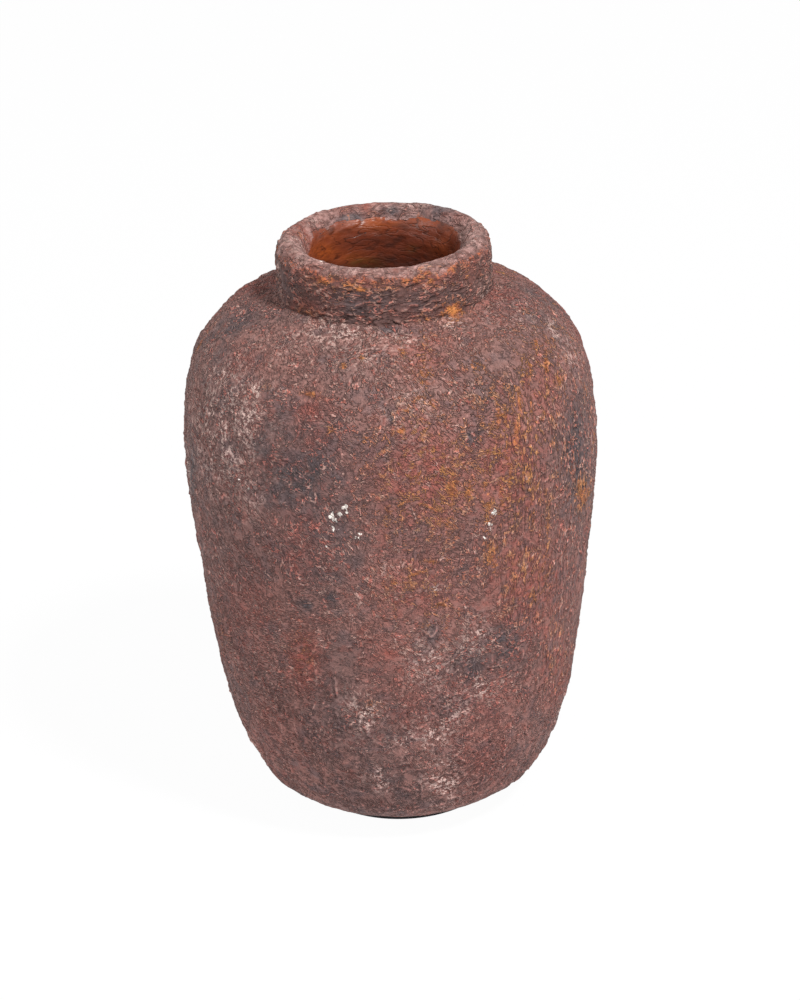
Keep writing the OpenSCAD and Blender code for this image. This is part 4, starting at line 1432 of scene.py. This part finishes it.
def coatMaterial(name, colours, ridging):
    # daubed mineral coat on terracotta: iron-oxide slip and grit, dry-brushed; matt and dusty, with painted
    # shade in its pits and at the feet of its ridges, and on the collar a painted highlight on its top
    material, tree = newMaterial(name)
    look, place, tint = coatLook, objectPlace(tree), tintsOf(colours)
    mark = {name: attribute(tree, name) for name in coatMarks}
    patch = patchesOf(tree, place, coatPatches)
    big, small = coatRidges(tree, place, mark, patch, ridging)
    colour = groundColour(tree, mark, patch, tint)
    # painted shade in the pits and at the feet of the ridges
    colour = blended(tree, paintedPitShade(tree, mark, patch, big, small), colour, tint["pitShade"])
    crest = brushedCrests(tree, mark, patch, big, small)
    colour = blended(tree, crest, colour, crestColour(tree, place, mark, patch, tint))
    colour = markedColour(tree, place, mark, patch, tint, colour, crest)
    shaded = addNode(tree, "ShaderNodeVectorMath", {0: colour, "Scale": patch["shade"]}, operation="SCALE")
    rough = worked(tree, "SUBTRACT", patch["rough"], times(tree, mark["flats"], look["flatGloss"]))
    bigHigh, smallHigh = (high for _, high, _ in ridging)
    height = worked(tree, "MULTIPLY_ADD", small, smallHigh, times(tree, big, bigHigh))
    for size, detail, high in (look["fine"], look["grit"]):
        height = worked(tree, "MULTIPLY_ADD", grained(tree, place, size, detail), high, height)
    surface(tree, shaded.outputs[0], rough, height, (1.0, 1), {"IOR": 1.5, "Specular IOR Level": 0.35})
    return material


liningColours = {
    "base": "#6f3422",
    "amber": "#93461d",
    "umber": "#47241b",
    "olive": "#584219",
    # painted shade: the colour deep inside the jar
    "deep": "#2c1710",
    "line": "#35180f",
}


lacquerLook = {
    "streaks": 2.2,           # how far the brush drew the streaks out level
    "umber": (16, 4, 0.36, 0.52),
    "lines": (15, 22.0, 1.2),     # spacing in mm, thinness and squeeze of the dark lines
    "lineShare": (16, 4, 0.48, 0.60, 0, 0.8),
    "fine": (6, 2),
    "fineEdge": (0.32, 0.60, 0.35, 1.0),
    "marks": {"amber": 0.95, "umber": 0.8, "olive": 0.7},
    # painted shade: the lacquer darkens lower down inside the jar
    "deep": (0.322, 0.362, 0.95, 0),      # heights in m between which the dark of the inside ends
    "rough": (6, 2, 0.3, 0.7, 0.32, 0.50),
    "fineHeight": 0.8,
    "lineHeight": -0.25,
}


def lacquerMaterial():
    # spirit lacquer brushed thick over fired clay: glossy, amber where thin, brown where it pooled, and
    # painted darker deeper inside the jar as shade
    material, tree = newMaterial("brushed amber lacquer")
    look, place, tint = lacquerLook, objectPlace(tree), tintsOf(liningColours)
    drawn = addNode(tree, "ShaderNodeMapping", {"Vector": place, "Scale": (1, 1, look["streaks"])})
    streaks = drawn.outputs[0]
    fine, lines = grained(tree, streaks, *look["fine"]), crested(tree, streaks, *look["lines"])
    colour = blended(tree, patches(tree, streaks, *look["umber"]), tint["umber"], tint["base"])
    low, high, least, most = look["fineEdge"]
    for name, strength in look["marks"].items():
        share = eased(tree, fine, low, high, least * strength, most * strength)
        colour = blended(tree, times(tree, attribute(tree, name), share), colour, tint[name])
    lineShare = times(tree, lines, patches(tree, streaks, *look["lineShare"]))
    colour = blended(tree, lineShare, colour, tint["line"])
    # painted shade deeper inside the jar, darker below these heights
    colour = blended(tree, eased(tree, heightOf(tree, place), *look["deep"]), colour, tint["deep"])
    rough = patches(tree, streaks, *look["rough"])
    height = worked(tree, "MULTIPLY_ADD", lines, look["lineHeight"], times(tree, fine, look["fineHeight"]))
    surface(tree, colour, rough, height, (0.5, 1), {"IOR": 1.45, "Specular IOR Level": 0.4})
    return material


clayPatches = {
    "pale": (22, 4, 0.35, 0.65),
    "grog": (1.2, 2, 0.62, 0.72, 0, 0.55),
    "rough": (6, 3, 0.3, 0.7, 0.78, 0.92),
}
clayGrain = (0.9, 3)
grogColour = "#7a4128"


def clayMaterial(name, pale, dark, shift):
    # unglazed earthenware, wheel-thrown and fired: matt orange body with dark grog and paler drying marks
    material, tree = newMaterial(name)
    mapping = addNode(tree, "ShaderNodeMapping", {"Vector": objectPlace(tree), "Location": (shift, 0, 0)})
    moved = mapping.outputs[0]
    patch = patchesOf(tree, moved, clayPatches)
    colour = blended(tree, patch["pale"], linear(dark), linear(pale))
    colour = blended(tree, patch["grog"], colour, linear(grogColour))
    surface(tree, colour, patch["rough"], grained(tree, moved, *clayGrain), (0.4, 0.3), {"IOR": 1.5})
    return material


foamLook = {
    "colours": {"black": "#26262a", "dust": "#45423f"},
    "cell": 0.9,              # mm
    "dust": (5, 3, 0.45, 0.70, 0, 0.5),
    "rough": (0.1, 0.6, 0.82, 0.95),
}


def foamMaterial():
    # closed-cell EVA foam, die-cut: matt black with fine open cells and a little dust
    material, tree = newMaterial("closed-cell foam")
    look, place, tint = foamLook, objectPlace(tree), tintsOf(foamLook["colours"])
    spread = {"Vector": place, "Scale": 1 / (look["cell"] * mm)}
    cells = addNode(tree, "ShaderNodeTexVoronoi", spread).outputs["Distance"]
    colour = blended(tree, patches(tree, place, *look["dust"]), tint["black"], tint["dust"])
    surface(tree, colour, eased(tree, cells, *look["rough"]), cells, (0.5, 0.2), {})
    return material


def finished(piece, material, node):
    piece.data.materials.clear()
    piece.data.materials.append(material)
    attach(piece, "root")
    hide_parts(node)


bodyRelief, bodyPieces = makeBodyCoat()
print("body coat: relief", bodyRelief.min().round(2), "to", bodyRelief.max().round(2))
rim, rimRelief, rimPiece = makeRimCoat()
print("rim coat: relief", rimRelief.min().round(2), "to", rimRelief.max().round(2))
liningPiece = makeLining(rim, rimRelief)
padPiece = makePad()
print("lining and pad made")

bodyMaterial = coatMaterial("daubed mineral coat", coatColours, bodyRidging)
rimMaterial = coatMaterial("daubed mineral coat of the collar", {**coatColours, **collarColours}, rimRidging)
for piece in bodyPieces:
    finished(piece, bodyMaterial, "body_coat")
finished(rimPiece, rimMaterial, "rim_coat")
finished(liningPiece, lacquerMaterial(), "inner_lining")
finished(padPiece, foamMaterial(), "base_pad")

clayNodes = {"base_slab": ("#c07a4e", "#a9633d"), "lower_wall": ("#b9683f", "#9c5232"),
             "upper_wall": ("#bb6c42", "#a05634"), "neck_ring": ("#c07a4e", "#a9633d"),
             "rim_band": ("#b9683f", "#9c5232")}
for k, (node, (pale, dark)) in enumerate(clayNodes.items()):
    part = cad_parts[node]
    part.data.materials.clear()
    name = "fired terracotta of the " + node.replace("_", " ")
    part.data.materials.append(clayMaterial(name, pale, dark, 0.1 * k))
print("materials made")
